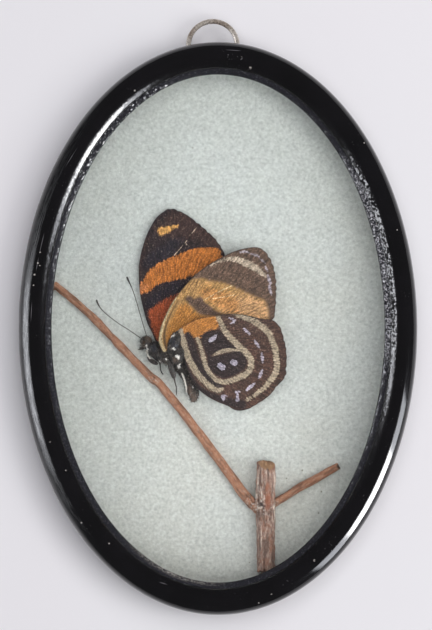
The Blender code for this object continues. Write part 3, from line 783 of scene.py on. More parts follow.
def lacquer_material(settings):
    """Black lacquer brushed on turned wood: deep and glossy on the bead, wrinkled like leather on the inner
    slope and the lip, where single wrinkles flash, with painted highlights on the wrinkles at the right, and
    with dust, scratches and chips to the pale ground."""
    made, tree, shader = new_material("black_lacquered_wood", roughness=0.1, ior=1.5)
    where = add(tree, "TexCoord", out="Object")
    run = add(tree, "UVMap", uv_map="moulding")
    inward = add(tree, "Attribute", out="Fac", attribute_name="inward")
    slope = between(tree, inward, 4.3, 5.3)
    lip = between(tree, inward, 5.6, 5.9)
    right = near(tree, where, RUMPLED[:1])
    rumpled = near(tree, where, RUMPLED)
    drawn_out = add(tree, "Mapping", {"Vector": run, "Scale": (0.35 * MM, 5.0 * MM, 1.0)})
    streaks = grain(tree, 1.0, 4.0, drawn_out)
    cloud = grain(tree, 9.0, 3.0, where)
    wrinkles = grain(tree, 0.36, 2.0, where, 0.7)
    pebbles = grain(tree, 0.3, 1.0, where, 0.6)
    specks = between(tree, grain(tree, 0.3, 1.0, where), 0.71, 0.77)
    dust = product(tree, specks, between(tree, grain(tree, 6.0, 3.0, where), 0.54, 0.7, 0.0, 0.6))
    corner = add(tree, "VectorMath", {0: where, 1: point(*DUSTY_LIP)}, out="Value", operation="DISTANCE")
    dusty = product(
        tree,
        between(tree, corner, 16 * MM, 6 * MM),
        between(tree, inward, 6.1, 6.8),
        between(tree, pebbles, 0.47, 0.6),
    )
    chips = product(tree, near(tree, where, CHIPS), between(tree, pebbles, 0.36, 0.52))
    scratches = product(tree, scratched(tree, where, SCRATCHES), between(tree, streaks, 0.3, 0.6, 0.2, 0.8))
    # Painted highlight: pale glints on the wrinkles of the right inner slope and lip
    painted_wrinkle_glints = product(
        tree,
        right,
        between(tree, inward, 5.4, 5.7),
        between(tree, inward, 6.9, 6.2, 0.4, 1.0),
        between(tree, wrinkles, 0.48, 0.62),
    )
    colour = paint(
        tree,
        settings.lacquer,
        [
            (between(tree, cloud, 0.3, 0.75, 0.0, 0.5), "#141216"),
            (product(tree, lip, 0.8), "#24242A"),
            (product(tree, lip, between(tree, wrinkles, 0.54, 0.68, 0.0, 0.45)), "#5A5A62"),
            # Painted highlight on the right wrinkles
            (painted_wrinkle_glints, "#CACAD0"),
            (dust, "#7D7B7E"),
            (dusty, "#B3AEA6"),
            (scratches, "#77757A"),
            (chips, "#B9B4AE"),
        ],
    )
    left = between(tree, add(tree, "SeparateXYZ", {0: where}, out="X"), -18 * MM, -36 * MM)
    worn_edge = product(tree, left, between(tree, inward, 2.8, 2.2))
    worn = between(tree, streaks, 0.35, 0.65, 0.2, 0.42)
    rough = between(tree, streaks, 0.35, 0.7, 0.08, 0.15)
    for mask, value in ((worn_edge, worn), (slope, 0.16), (lip, 0.24), (dust, 0.7)):
        rough = add(tree, "Mix", {0: mask, 2: rough, 3: value}, data_type="FLOAT")
    cells = add(tree, "TexVoronoi", {"Scale": 1 / (0.34 * MM), "Vector": where}, out="Color")
    tilt = add(tree, "VectorMath", {0: cells, 1: (0.5, 0.5, 0.5)}, operation="SUBTRACT")
    slope_tilt = between(tree, right, 0.0, 1.0, 0.07, 0.5)
    lip_tilt = between(tree, rumpled, 0.0, 1.0, 0.28, 0.85)
    turned = product(tree, add(tree, "Mix", {0: lip, 2: slope_tilt, 3: lip_tilt}, data_type="FLOAT"), slope)
    tilt = add(tree, "VectorMath", {0: tilt, "Scale": turned}, operation="SCALE")
    facing = add(tree, "VectorMath", {0: add(tree, "NewGeometry", out="Normal"), 1: tilt}, operation="ADD")
    facing = add(tree, "VectorMath", {0: facing}, operation="NORMALIZE")
    fine = add(tree, "Bump", {"Height": streaks, "Strength": 0.12, "Distance": 0.04 * MM, "Normal": facing})
    pits = {"Height": chips, "Strength": 0.4, "Distance": 0.08 * MM, "Normal": fine}
    connect(tree, shader, base_color=colour, roughness=rough, normal=add(tree, "Bump", pits, invert=True))
    return made


class FramedButterflyMoulding(bpy.types.Operator):
    """Builds the oval moulding"""

    bl_idname = "framed_butterfly.moulding"
    bl_label = "Oval moulding"

    def execute(self, context):
        section = [(SPIN_RADIUS - inset, height) for inset, height in moulding_section()]
        bm = spun(section, OVAL_STEPS, closed=True)
        insets, turns = [], []
        for vert in bm.verts:
            turn = math.atan2(vert.co.y, vert.co.x)
            inset = SPIN_RADIUS - math.hypot(vert.co.x, vert.co.y)
            insets.append(inset)
            turns.append(turn)
            place = oval_place(turn, inset)
            wave = noise.noise(Vector((place.x, place.y, vert.co.z)) / LACQUER_WAVE_LENGTH) * LACQUER_WAVE
            on_bead = BEAD[0] < inset < BEAD[1] and vert.co.z > BEAD[2]
            vert.co = point(place.x, place.y, vert.co.z + (wave if on_bead else 0.0))
        bmesh.ops.recalc_face_normals(bm, faces=bm.faces)
        made = mesh_object("oval_moulding", bm, [lacquer_material(context.scene.framed_butterfly_frame)], 50)
        write_attribute(made.data, "inward", insets)
        across = np.array(turns) * MAP_RADIUS
        write_map(made.data, "moulding", across, np.array(insets), 2 * math.pi * MAP_RADIUS)
        settle(made, "lacquer", "frame")
        return {"FINISHED"}


def glass_material():
    """Clear blown glass: it mirrors a little at its slopes, and lets the lamps through to the paper."""
    made, tree, shader = new_material("clear_convex_glass", roughness=0.015, ior=1.5, transmission_weight=1.0)
    shader.inputs["Base Color"].default_value = linear("#FCFEFD")
    shadow = add(tree, "LightPath", out="Is Shadow Ray")
    through = add(tree, "BsdfTransparent", {"Color": linear("#EFF0EF")})
    mixed = add(tree, "MixShader", {0: shadow, 1: shader.outputs[0], 2: through})
    tree.links.new(mixed, tree.nodes["Material Output"].inputs["Surface"])
    return made


class FramedButterflyGlass(bpy.types.Operator):
    """Builds the convex pane"""

    bl_idname = "framed_butterfly.glass"
    bl_label = "Convex glass"

    def execute(self, context):
        rise = context.scene.framed_butterfly_frame.glass_rise / MM
        line = [(i / GLASS_RINGS, 0.0) for i in range(GLASS_RINGS + 1)]
        # The last ring, at 2, becomes the flat rim that lies under the frame's lip
        bm = spun(line + [(2.0, 0.0)], GLASS_STEPS)
        bmesh.ops.remove_doubles(bm, verts=bm.verts, dist=0.001)
        for vert in bm.verts:
            turn = math.atan2(vert.co.y, vert.co.x)
            reach = math.hypot(vert.co.x, vert.co.y)
            if reach > 1.5:
                place, height = oval_place(turn, GLASS_IN), GLASS_EDGE_TOP
            else:
                place = oval_place(turn, GLASS_FLANGE_IN) * reach
                height = GLASS_EDGE_TOP + rise * (1 - reach**GLASS_BULGE_POWER)
            vert.co = point(place.x, place.y, height)
        faces_up(bm)
        made = mesh_object("convex_pane", bm, [glass_material()])
        wall = made.modifiers.new("thickness", "SOLIDIFY")
        wall.thickness = GLASS_THICKNESS * MM
        wall.offset = -1.0
        wall.use_even_offset = True
        settle(made, "glass", "glass")
        return {"FINISHED"}


def paper_material(settings):
    """Uncoated laid paper on card: pale grey-green, fibrous, warmer towards the lower right, painted a little
    darker towards the rim as painted shade from the frame, with a few dark specks."""
    made, tree, shader = new_material("uncoated_paper", roughness=0.95, specular_ior_level=0.2)
    where = add(tree, "TexCoord", out="Object")
    fibres = grain(tree, 0.62, 3.0, where, 0.6)
    fine = grain(tree, 0.3, 2.0, where, 0.6)
    cloud = grain(tree, 22.0, 2.0, where)
    slope = add(tree, "Mapping", {"Vector": where, "Rotation": (0.0, 0.0, 0.9)})
    drift = add(tree, "SeparateXYZ", {0: slope}, out="X")
    oval = {"Vector": where, "Location": point(*PAPER_SHADE_MIDDLE), "Scale": point(*PAPER_SHADE_REACH)}
    reach = add(tree, "Mapping", oval, vector_type="TEXTURE")
    reach = add(tree, "VectorMath", {0: reach}, out="Value", operation="LENGTH")
    colour = paint(
        tree,
        settings.paper,
        [
            (between(tree, drift, -30 * MM, 45 * MM, 0.0, 0.7), "#D3D1C9"),
            (between(tree, cloud, 0.35, 0.75, 0.0, 0.5), "#D0D4D3"),
            (between(tree, fibres, 0.5, 0.7, 0.0, 0.55), "#A8ADA8"),
            (between(tree, fibres, 0.5, 0.32, 0.0, 0.5), "#EBEEE9"),
            (between(tree, fine, 0.52, 0.72, 0.0, 0.4), "#ACAEA8"),
            # Painted shade: darker towards the rim, where the frame shades the paper
            (between(tree, reach, 0.85, 1.02, 0.0, 0.15), "#9A9C95"),
            (near(tree, where, SPECKS, 0.8), "#8A8872"),
            (near(tree, where, [(x, y, r * 0.55) for x, y, r in SPECKS], 0.7), "#4A463C"),
        ],
    )
    pressed = add(tree, "Bump", {"Height": fibres, "Strength": 0.8, "Distance": 0.2 * MM})
    tooth = add(tree, "Bump", {"Height": fine, "Strength": 0.3, "Distance": 0.06 * MM, "Normal": pressed})
    connect(tree, shader, base_color=colour, normal=tooth)
    return made


def board_material(settings):
    """Raw brown fibre board: matt, mottled, with short pressed fibres."""
    made, tree, shader = new_material("raw_fibre_board", roughness=0.9, specular_ior_level=0.25)
    where = add(tree, "TexCoord", out="Object")
    fibre = grain(tree, 1.0, 4.0, add(tree, "Mapping", {"Vector": where, "Scale": (0.5, 2.2, 1.0)}))
    layers = [
        (between(tree, fibre, 0.4, 0.72, 0.0, 0.7), "#5B4632"),
        (between(tree, grain(tree, 14.0, 3.0, where), 0.4, 0.7, 0.0, 0.35), "#8E765B"),
    ]
    relief = add(tree, "Bump", {"Height": fibre, "Strength": 0.4, "Distance": 0.1 * MM})
    connect(tree, shader, base_color=paint(tree, settings.board, layers), normal=relief)
    return made


class FramedButterflyCard(bpy.types.Operator):
    """Finishes the papered card and the back board"""

    bl_idname = "framed_butterfly.card"
    bl_label = "Paper and board"

    def execute(self, context):
        settings = context.scene.framed_butterfly_frame
        finishes = {"paper_card": paper_material(settings), "back_board": board_material(settings)}
        for node, finish in finishes.items():
            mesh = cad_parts[node].data
            mesh.materials.clear()
            mesh.materials.append(finish)
        return {"FINISHED"}


def wire_material(settings):
    """Drawn steel wire dulled by age: brownish grey, with faint drawing marks and worn bright spots."""
    made, tree, shader = new_material("dulled_steel_wire", metallic=0.6, roughness=0.34)
    where = add(tree, "TexCoord", out="Object")
    marks = grain(tree, 0.5, 4.0, where)
    patches = grain(tree, 2.4, 3.0, where)
    colour = paint(tree, settings.steel, [(between(tree, patches, 0.42, 0.62, 0.0, 0.8), "#A59586")])
    rough = between(tree, marks, 0.35, 0.7, 0.22, 0.46)
    relief = add(tree, "Bump", {"Height": marks, "Strength": 0.25, "Distance": 0.04 * MM})
    connect(tree, shader, base_color=colour, roughness=rough, normal=relief)
    return made


class FramedButterflyLoop(bpy.types.Operator):
    """Bends the hanging loop"""

    bl_idname = "framed_butterfly.loop"
    bl_label = "Hanging loop"

    def execute(self, context):
        settings = context.scene.framed_butterfly_frame
        middle = Vector(LOOP_CENTRE)
        path = [(middle.x - LOOP_RADIUS, LOOP_LEG_END)]
        for i in range(LOOP_STEPS + 1):
            turn = math.pi * (1 - i / LOOP_STEPS)
            path.append((middle.x + LOOP_RADIUS * math.cos(turn), middle.y + LOOP_RADIUS * math.sin(turn)))
        path.append((middle.x + LOOP_RADIUS, LOOP_LEG_END))
        bm = bmesh.new()
        sweep(bm, [(x, y, middle.z, settings.wire / 2 / MM) for x, y in path], 20)
        settle(mesh_object("wire_loop", bm, [wire_material(settings)], 50), "wire", "hanging_loop")
        return {"FINISHED"}


# Twig


def bark_material(settings):
    """Dried twig bark: flaking grey-pink ridges on the stem, smoother red-brown on the branches, dark and
    scaly at the fork, with pale lichen crumbs and a bare slanted cut."""
    made, tree, shader = new_material("dried_twig_bark", roughness=0.85, specular_ior_level=0.3)
    where = add(tree, "TexCoord", out="Object")
    run = add(tree, "UVMap", uv_map="bark")
    thick, fork, raised, cut = [
        add(tree, "Attribute", out="Fac", attribute_name=name) for name in ("thick", "fork", "raised", "cut")
    ]
    long_strips = add(tree, "Mapping", {"Vector": run, "Scale": (2.8 * MM, 0.75 * MM, 1.0)})
    short_strips = add(tree, "Mapping", {"Vector": run, "Scale": (5.5 * MM, 1.8 * MM, 1.0)})
    strips = grain(tree, 1.0, 5.0, long_strips, 0.7)
    fine = grain(tree, 1.0, 3.0, short_strips)
    patches = grain(tree, 1.5, 3.0, where)
    crumbs = grain(tree, 0.42, 2.0, where)
    pale_share = between(tree, thick, 0.0, 1.0, 0.35, 0.9)
    flaked = between(tree, fine, 0.34, 0.5)
    colour = paint(
        tree,
        settings.young_bark,
        [
            (thick, settings.bark),
            (between(tree, patches, 0.45, 0.65, 0.0, 0.65), "#9C6A52"),
            (between(tree, strips, 0.47, 0.34, 0.0, 0.7), "#6B483B"),
            (product(tree, between(tree, strips, 0.5, 0.64), pale_share), "#CDB9AB"),
            (between(tree, fine, 0.43, 0.3, 0.0, 0.7), "#54392F"),
            (near(tree, where, BROKEN_TIP, 0.5), "#4A382F"),
            # Painted shade: darker where the bark lies low, in its furrows
            (product(tree, between(tree, raised, 0.02, -0.1), 0.5), "#3D2A24"),
            (product(tree, between(tree, patches, 0.5, 0.35), fork), "#4B3B38"),
            (product(tree, between(tree, crumbs, 0.56, 0.64), fork), "#CBC3BB"),
            (product(tree, scratched(tree, where, SMOOTH_BARK), 0.85), "#9A5F47"),
            (product(tree, scratched(tree, where, PALE_BARK), flaked), "#E0D0C2"),
            (between(tree, cut, 0.0, 0.25, 0.0, 0.8), "#A9825F"),
            (product(tree, between(tree, patches, 0.56, 0.44, 0.0, 0.5), cut), "#6E4D38"),
        ],
    )
    deep = add(tree, "Bump", {"Height": strips, "Strength": 0.7, "Distance": 0.16 * MM})
    relief = add(tree, "Bump", {"Height": fine, "Strength": 0.5, "Distance": 0.05 * MM, "Normal": deep})
    connect(tree, shader, base_color=colour, normal=relief)
    return made


def bark_places(places):
    """How far along and round its nearest twig piece each place lies, and 1 where that is the stem."""
    along, around, thick = np.zeros((3, len(places)))
    depth = np.full(len(places), 1e9)
    for number, path in enumerate((STEM, LONG_BRANCH, SHORT_BRANCH)):
        line = rounded_path(path, 4)
        gap, share, piece = line_gap(places[:, :2], line)
        blend = share[:, None]
        middle = line[piece] * (1 - blend) + line[piece + 1] * blend
        lengths = np.concatenate([[0], np.cumsum(np.linalg.norm(np.diff(line[:, :2], axis=0), axis=1))])
        heading = line[piece + 1, :2] - line[piece, :2]
        offset = places[:, :2] - middle[:, :2]
        side = heading[:, 0] * offset[:, 1] - heading[:, 1] * offset[:, 0]
        rise = places[:, 2] - PAPER - middle[:, 2]
        turn = np.arctan2(np.sign(side) * gap, rise)
        nearness = np.hypot(gap, rise) / middle[:, 3]
        closer = nearness < depth
        depth[closer] = nearness[closer]
        run = lengths[piece] + share * (lengths[piece + 1] - lengths[piece]) + BARK_MAP_STEP * number
        along[closer] = run[closer]
        around[closer] = (turn * middle[:, 3])[closer]
        thick[closer] = 1.0 if number == 0 else 0.0
    return along, around, thick


def swelling(places, x, y, reach_x, reach_y):
    """A soft mask round one place of the twig."""
    return np.exp(-(((places[:, 0] - x) / reach_x) ** 2) - ((places[:, 1] - y) / reach_y) ** 2)


def bark_relief(place, along, around, thick, fork):
    """How far the bark stands out at a place, and the coarse lump there that frays the stem's ends."""
    ridge = noise.noise(Vector((around * RIDGES[0], along * RIDGES[1], thick * 7)))
    flake = noise.noise(Vector((around * FLAKES[0], along * FLAKES[1], 3.0)))
    lump = noise.noise(Vector(place) * LUMPS)
    deep = BARK_DEPTH + STEM_BARK_DEPTH * thick + FORK_BARK_DEPTH * fork
    return deep * (ridge + 0.45 * flake) + FORK_LUMPS * fork * lump, lump


class FramedButterflyBark(bpy.types.Operator):
    """Grows the twig"""

    bl_idname = "framed_butterfly.bark"
    bl_label = "Twig"

    def execute(self, context):
        bm = bmesh.new()
        for path, sides in ((STEM, 24), (LONG_BRANCH, 16), (SHORT_BRANCH, 16)):
            sweep(bm, [(x, y, PAPER + z, r) for x, y, z, r in rounded_path(path, 4)], sides)
        mesh = one_skin("twig_bark", bm, TWIG_VOXEL)
        places = vertex_places(mesh)
        normals = vertex_normals(mesh)
        along, around, thick = bark_places(places)
        fork = np.maximum(swelling(places, *FORK), 0.9 * swelling(places, *KNOT))
        raised = np.zeros(len(places))
        moved = places.copy()
        for i, (x, y, _) in enumerate(places):
            raised[i], lump = bark_relief(places[i], along[i], around[i], thick[i], fork[i])
            end = max(0.0, STEM_FOOT - y) + (0.6 * max(0.0, y - STEM_FRAYED_FROM) if thick[i] else 0.0)
            moved[i] += normals[i] * (raised[i] + 0.35 * end * lump)
            if thick[i] and y > STEM_TOP:
                across = x - STEM_MIDDLE
                moved[i, 1] -= (0.30 * across * across + 0.16 * across - 0.35 + 0.5 * lump) * (y - STEM_TOP)
        height, low_end, steep = CUT
        along_cut = moved[:, 1] - low_end + 0.22 * (moved[:, 0] - STEM[-1][0])
        level = PAPER + height - steep * np.maximum(0, along_cut)
        cut = np.clip(moved[:, 2] - level, 0, 1) * (thick > 0) * (moved[:, 1] > low_end - 0.5)
        moved[:, 2] = np.maximum(moved[:, 2] - cut, PAPER + LOWEST_BARK)
        write_places(mesh, moved)
        made = linked_object("twig_bark", mesh, [bark_material(context.scene.framed_butterfly_twig)])
        write_map(mesh, "bark", around, along)
        for name, values in {"thick": thick, "fork": fork, "raised": raised, "cut": cut}.items():
            write_attribute(mesh, name, values)
        settle(made, "bark", "stem", "long_branch", "short_branch")
        return {"FINISHED"}


# Butterfly wings


def scalloped(outline, first, last, depth=0.2, pitch=1.55):
    """A smooth outline whose points between these two of the rough one are notched like a wing's margin."""
    line = rounded_outline(outline, OUTLINE_STEPS)
    following = np.roll(line, -1, axis=0) - np.roll(line, 1, axis=0)
    outwards = np.stack([-following[:, 1], following[:, 0]], 1) / np.linalg.norm(following, axis=1)[:, None]
    if inside_patch(line + outwards * 0.2, line).mean() > 0:
        outwards = -outwards
    run = np.cumsum(np.linalg.norm(line - np.roll(line, 1, axis=0), axis=1))
    for i in range(first * OUTLINE_STEPS, last * OUTLINE_STEPS):
        notch = abs(math.sin(math.pi * run[i] / pitch)) ** 0.6 - 0.6
        ragged = noise.noise(Vector((run[i] * 1.3, 0.0, depth * 40)))
        line[i] += outwards[i] * depth * (notch + 0.8 * ragged)
    return line


def veins_from(base, ends):
    """Straight veins that spread from the wing's base, from a third of the way out."""
    root = np.array(base)
    return [np.array([root + (np.array(end) - root) * share for share in (0.3, 0.65, 1.0)]) for end in ends]


def wing_sheet(name, outline, veins, hinge, span, tip_height, bend, spacing=WING_SPACING):
    """A thin veined sheet inside the outline. It tips down from its hinge along span, with a slight bend."""
    lowest, highest = outline.min(0), outline.max(0)
    size = highest - lowest
    bm = bmesh.new()
    bmesh.ops.create_grid(
        bm, x_segments=int(size[0] / spacing) + 1, y_segments=int(size[1] / spacing) + 1, size=1.0
    )
    verts = list(bm.verts)
    flat = np.array([v.co[:2] for v in verts])
    flat = lowest + (flat - flat.min(0)) / (flat.max(0) - flat.min(0)) * size
    inside = inside_patch(flat, outline)
    for vert, at in zip(verts, flat):
        vert.co.xy = at
    bmesh.ops.delete(bm, geom=[v for v, d in zip(verts, inside) if d < -0.45 * spacing], context="VERTS")
    edge = [v for v in bm.verts if v.is_boundary]
    closed = np.vstack([outline, outline[:1]])
    _, share, piece = line_gap(np.array([v.co[:2] for v in edge]), closed)
    onto = closed[piece] * (1 - share[:, None]) + closed[piece + 1] * share[:, None]
    for vert, at in zip(edge, onto):
        vert.co.xy = at
    verts = list(bm.verts)
    flat = np.array([v.co[:2] for v in verts])
    direction = np.array(span) / np.linalg.norm(span)
    root = np.array(hinge[:2])
    reach = ((outline - root) @ direction).max()
    out = (flat - root) @ direction
    aside = (flat - root) @ np.array([-direction[1], direction[0]])
    height = hinge[2] - (hinge[2] - PAPER - tip_height) / reach * out
    height += bend * np.sin(np.pi * np.clip(out / reach, 0, 1)) + 0.35 * bend * np.sin(aside / 3.1)
    for vein in veins:
        height += VEIN_RISE * np.exp(-((line_gap(flat, vein)[0] / VEIN_WIDTH) ** 2))
    for vert, (x, y), level in zip(verts, flat, height):
        wrinkle = WING_WRINKLE * noise.noise(Vector((x, y, 0)) / WING_WRINKLE_LENGTH)
        vert.co = point(x, y, level + WING_THICKNESS / 2 + wrinkle)
    faces_up(bm)
    bmesh.ops.solidify(bm, geom=bm.faces[:], thickness=WING_THICKNESS * MM)
    made = mesh_object(name, bm, [], 60)
    places = vertex_places(made.data)[:, :2]
    spread = places - root
    across = np.arctan2(spread[:, 1], spread[:, 0]) * SCALES_RADIUS
    distance = np.hypot(spread[:, 0], spread[:, 1])
    write_map(made.data, "scales", across, distance, 2 * math.pi * SCALES_RADIUS)
    write_attribute(made.data, "rim", inside_patch(places, outline))
    write_attribute(made.data, "vein", 0.1 - np.min([line_gap(places, vein)[0] for vein in veins], axis=0))
    return made


def mark_surface(made, marks):
    """Writes how far inside each kind of mark every vertex lies."""
    places = vertex_places(made.data)[:, :2]
    for name, shapes in marks.items():
        write_attribute(made.data, name, inside_marks(places, shapes))


def paint_marks(tree, colour, jitter, layers, steady=None):
    """Lays each mark over the colour, with an edge that the jitter makes ragged. A layer is given as its
    colour, the softness of its edge and its strength. Where steady is given, it and the softness set how much
    the jitter counts."""
    for mark, (tint, soft, strength) in layers.items():
        inside = add(tree, "Attribute", out="Fac", attribute_name=mark)
        much = 1.0 if steady is None else steady + 0.9 * soft
        ragged = add(tree, "Math", {0: jitter, 1: much, 2: inside}, operation="MULTIPLY_ADD")
        colour = paint(tree, colour, [(between(tree, ragged, -soft, soft, 0.0, strength), tint)])
    return colour


def wing_material(name, ground, layers):
    """Wing scales: matt, laid in rows that run out from the wing's base, with ragged edges between colours.
    Real scales are about 0.1 mm, drawn about three times as coarse here so that they show."""
    made, tree, shader = new_material(
        name, roughness=0.75, specular_ior_level=0.25, sheen_weight=0.12, sheen_roughness=0.4
    )
    where = add(tree, "TexCoord", out="Object")
    run = add(tree, "UVMap", uv_map="scales")
    rows = add(tree, "Mapping", {"Vector": run, "Scale": (3.6 * MM, 0.55 * MM, 1.0)})
    rows = grain(tree, 1.0, 3.0, rows, 0.6)
    speckle = grain(tree, 0.3, 2.0, where)
    cloud = grain(tree, 4.0, 2.0, where)
    rim = add(tree, "Attribute", out="Fac", attribute_name="rim")
    vein = add(tree, "Attribute", out="Fac", attribute_name="vein")
    jitter = add(tree, "Mix", {0: 0.55, 2: speckle, 3: rows}, data_type="FLOAT")
    jitter = between(tree, jitter, 0.3, 0.7, -1.0, 1.0)
    colour = paint(tree, ground, [(between(tree, cloud, 0.35, 0.7, 0.0, 0.5), layers.pop("cloud"))])
    colour = paint_marks(tree, colour, jitter, layers, 0.03)
    colour = paint(
        tree,
        colour,
        [
            # A dark margin round each wing, which also stands for painted shade where one wing's edge lies
            # over another
            (between(tree, rim, 0.26, 0.02, 0.0, 0.75), "#2A2022"),
            (between(tree, vein, -0.12, 0.1, 0.0, 0.22), "#4A3A34"),
            (between(tree, speckle, 0.6, 0.72, 0.0, 0.22), "#B09E90"),
        ],
    )
    spots = between(tree, speckle, 0.32, 0.68, 0.64, 1.36)
    tone = product(tree, between(tree, rows, 0.3, 0.7, 0.46, 1.5), spots)
    colour = add(tree, "VectorMath", {0: colour, "Scale": tone}, operation="SCALE")
    relief = add(tree, "Bump", {"Height": rows, "Strength": 0.6, "Distance": 0.09 * MM})
    connect(tree, shader, base_color=colour, normal=relief)
    return made


class FramedButterflyWings(bpy.types.Operator):
    """Spreads the four wings"""

    bl_idname = "framed_butterfly.wings"
    bl_label = "Wings"

    def execute(self, context):
        colours = context.scene.framed_butterfly_insect
        self.far_forewing(colours)
        self.near_forewing(colours)
        self.hindwings(colours)
        return {"FINISHED"}

    def far_forewing(self, colours):
        """The forewing that shows its orange and black upper side."""
        veins = veins_from((-12.4, -3.0), FAR_FOREWING_VEIN_ENDS)
        line = scalloped(FAR_FOREWING, 13, 21)
        hinge = (-11.2, -3.5, PAPER + 1.25)
        wing = wing_sheet("forewing_upper_side", line, veins, hinge, (0.05, 1.0), 0.6, 0.12)
        mark_surface(wing, FAR_FOREWING_MARKS)
        layers = {
            "cloud": "#302325",
            "blue": ("#231E28", 0.6, 0.8),
            "brown": ("#432E29", 0.6, 0.75),
            "band": (colours.orange, 0.22, 1.0),
            "band_end": ("#C98560", 1.0, 0.6),
            "base": ("#A34C26", 0.4, 0.95),
            "spot": ("#E0A65C", 0.26, 0.95),
            "pale_vein": ("#C9B49C", 0.05, 0.7),
        }
        wing.data.materials.append(wing_material("black_and_orange_wing_scales", colours.black, layers))
        settle(wing, "wing_upperside", "forewing_far")

    def near_forewing(self, colours):
        """The forewing that shows its buff and brown underside."""
        veins = veins_from((-11.4, -4.9), NEAR_FOREWING_VEIN_ENDS)
        line = scalloped(NEAR_FOREWING, 16, 26)
        hinge = (-11.4, -4.9, PAPER + 3.50)
        wing = wing_sheet("forewing_underside", line, veins, hinge, (0.70, 0.71), 2.0, 0.08)
        mark_surface(wing, NEAR_FOREWING_MARKS)
        layers = {
            "cloud": "#B0884E",
            "pale": ("#BE9268", 1.4, 0.85),
            "warm": ("#B97F47", 0.9, 0.85),
            "base": ("#AE7333", 0.6, 0.95),
            "brown": ("#5C483E", 0.4, 0.96),
            "bar": ("#57433B", 0.32, 0.95),
            "costa_shade": ("#4A3526", 0.14, 0.85),
            "cream": ("#B5A491", 0.2, 0.95),
            "costa": ("#C2AC85", 0.12, 0.95),
            "lilac": ("#A49AA2", 0.1, 0.9),
            "fringe": ("#B9AFA8", 0.08, 0.8),
            "pale_vein": ("#E6CFA6", 0.06, 0.75),
        }
        wing.data.materials.append(wing_material("buff_and_brown_wing_scales", colours.buff, layers))
        settle(wing, "wing_underside", "forewing_near")

    def hindwings(self, colours):
        """The ringed hindwing, and the one behind it, of which only a sliver shows."""
        root = (-8.0, -2.5)
        veins = veins_from(root, HINDWING_VEIN_ENDS)
        line = scalloped(HINDWING, 11, 27, 0.3)
        span = (0.85, -0.53)
        wing = wing_sheet("hindwing_underside", line, veins, (*root, PAPER + 3.95), span, 2.15, 0.08)
        mark_surface(wing, HINDWING_MARKS)
        layers = {
            "cloud": "#5E3E33",
            "dark": ("#251A1C", 0.2, 0.92),
            "orange": ("#B17232", 0.26, 0.95),
            "cream": (colours.cream, 0.15, 0.95),
            "lilac": (colours.lilac, 0.1, 0.92),
        }
        wing.data.materials.append(wing_material("ringed_wing_scales", colours.brown, layers))
        settle(wing, "wing_underside", "hindwing_near")
        turn = math.radians(FAR_HINDWING_TURN)
        spin = np.array([[math.cos(turn), math.sin(turn)], [-math.sin(turn), math.cos(turn)]])
        behind = (rounded_outline(HINDWING[:-3], OUTLINE_STEPS) - np.array(root)) @ spin + np.array(root)
        far = wing_sheet("hindwing_behind", behind, veins, (*root, PAPER + 0.36), span, 0.2, 0.0, 0.3)
        mark_surface(far, {"dark": [HINDWING_EDGE_BAND]})
        layers = {"cloud": "#5E3E33", "dark": ("#31252A", 0.2, 0.6)}
        far.data.materials.append(wing_material("brown_wing_scales", colours.brown, layers))
        settle(far, "wing_underside", "hindwing_far")


# Butterfly body, antennae and legs

BODY_HEIGHT = PAPER + 1.68
# How flat the spine's round section is pressed, the size of a face, and the least height over the paper
BODY_FLATNESS = 0.65
BODY_VOXEL = 0.11
LOWEST_SKIN = 0.04
# The head lies left of the first x, the abdomen below the second y
HEAD_END = -12.5
WAIST = -8.5
BODY_SPINE = [
    (-14.4, -3.6, 0.85), (-13.6, -4.5, 1.25), (-12.0, -5.4, 1.70), (-9.9, -5.6, 2.20), (-8.3, -7.0, 1.95),
    (-7.1, -8.8, 1.42), (-6.2, -10.6, 1.22), (-5.5, -12.4, 1.28), (-5.1, -13.8, 1.15), (-5.15, -14.9, 0.80),
    (-5.3, -15.5, 0.30),
]
# Two palps in front of the head, which show as one: x, y, z and radius
PALP = [
    (-15.3, -3.9, BODY_HEIGHT, 0.42), (-16.1, -4.2, BODY_HEIGHT + 0.1, 0.30),
    (-16.8, -4.45, BODY_HEIGHT, 0.08),
]
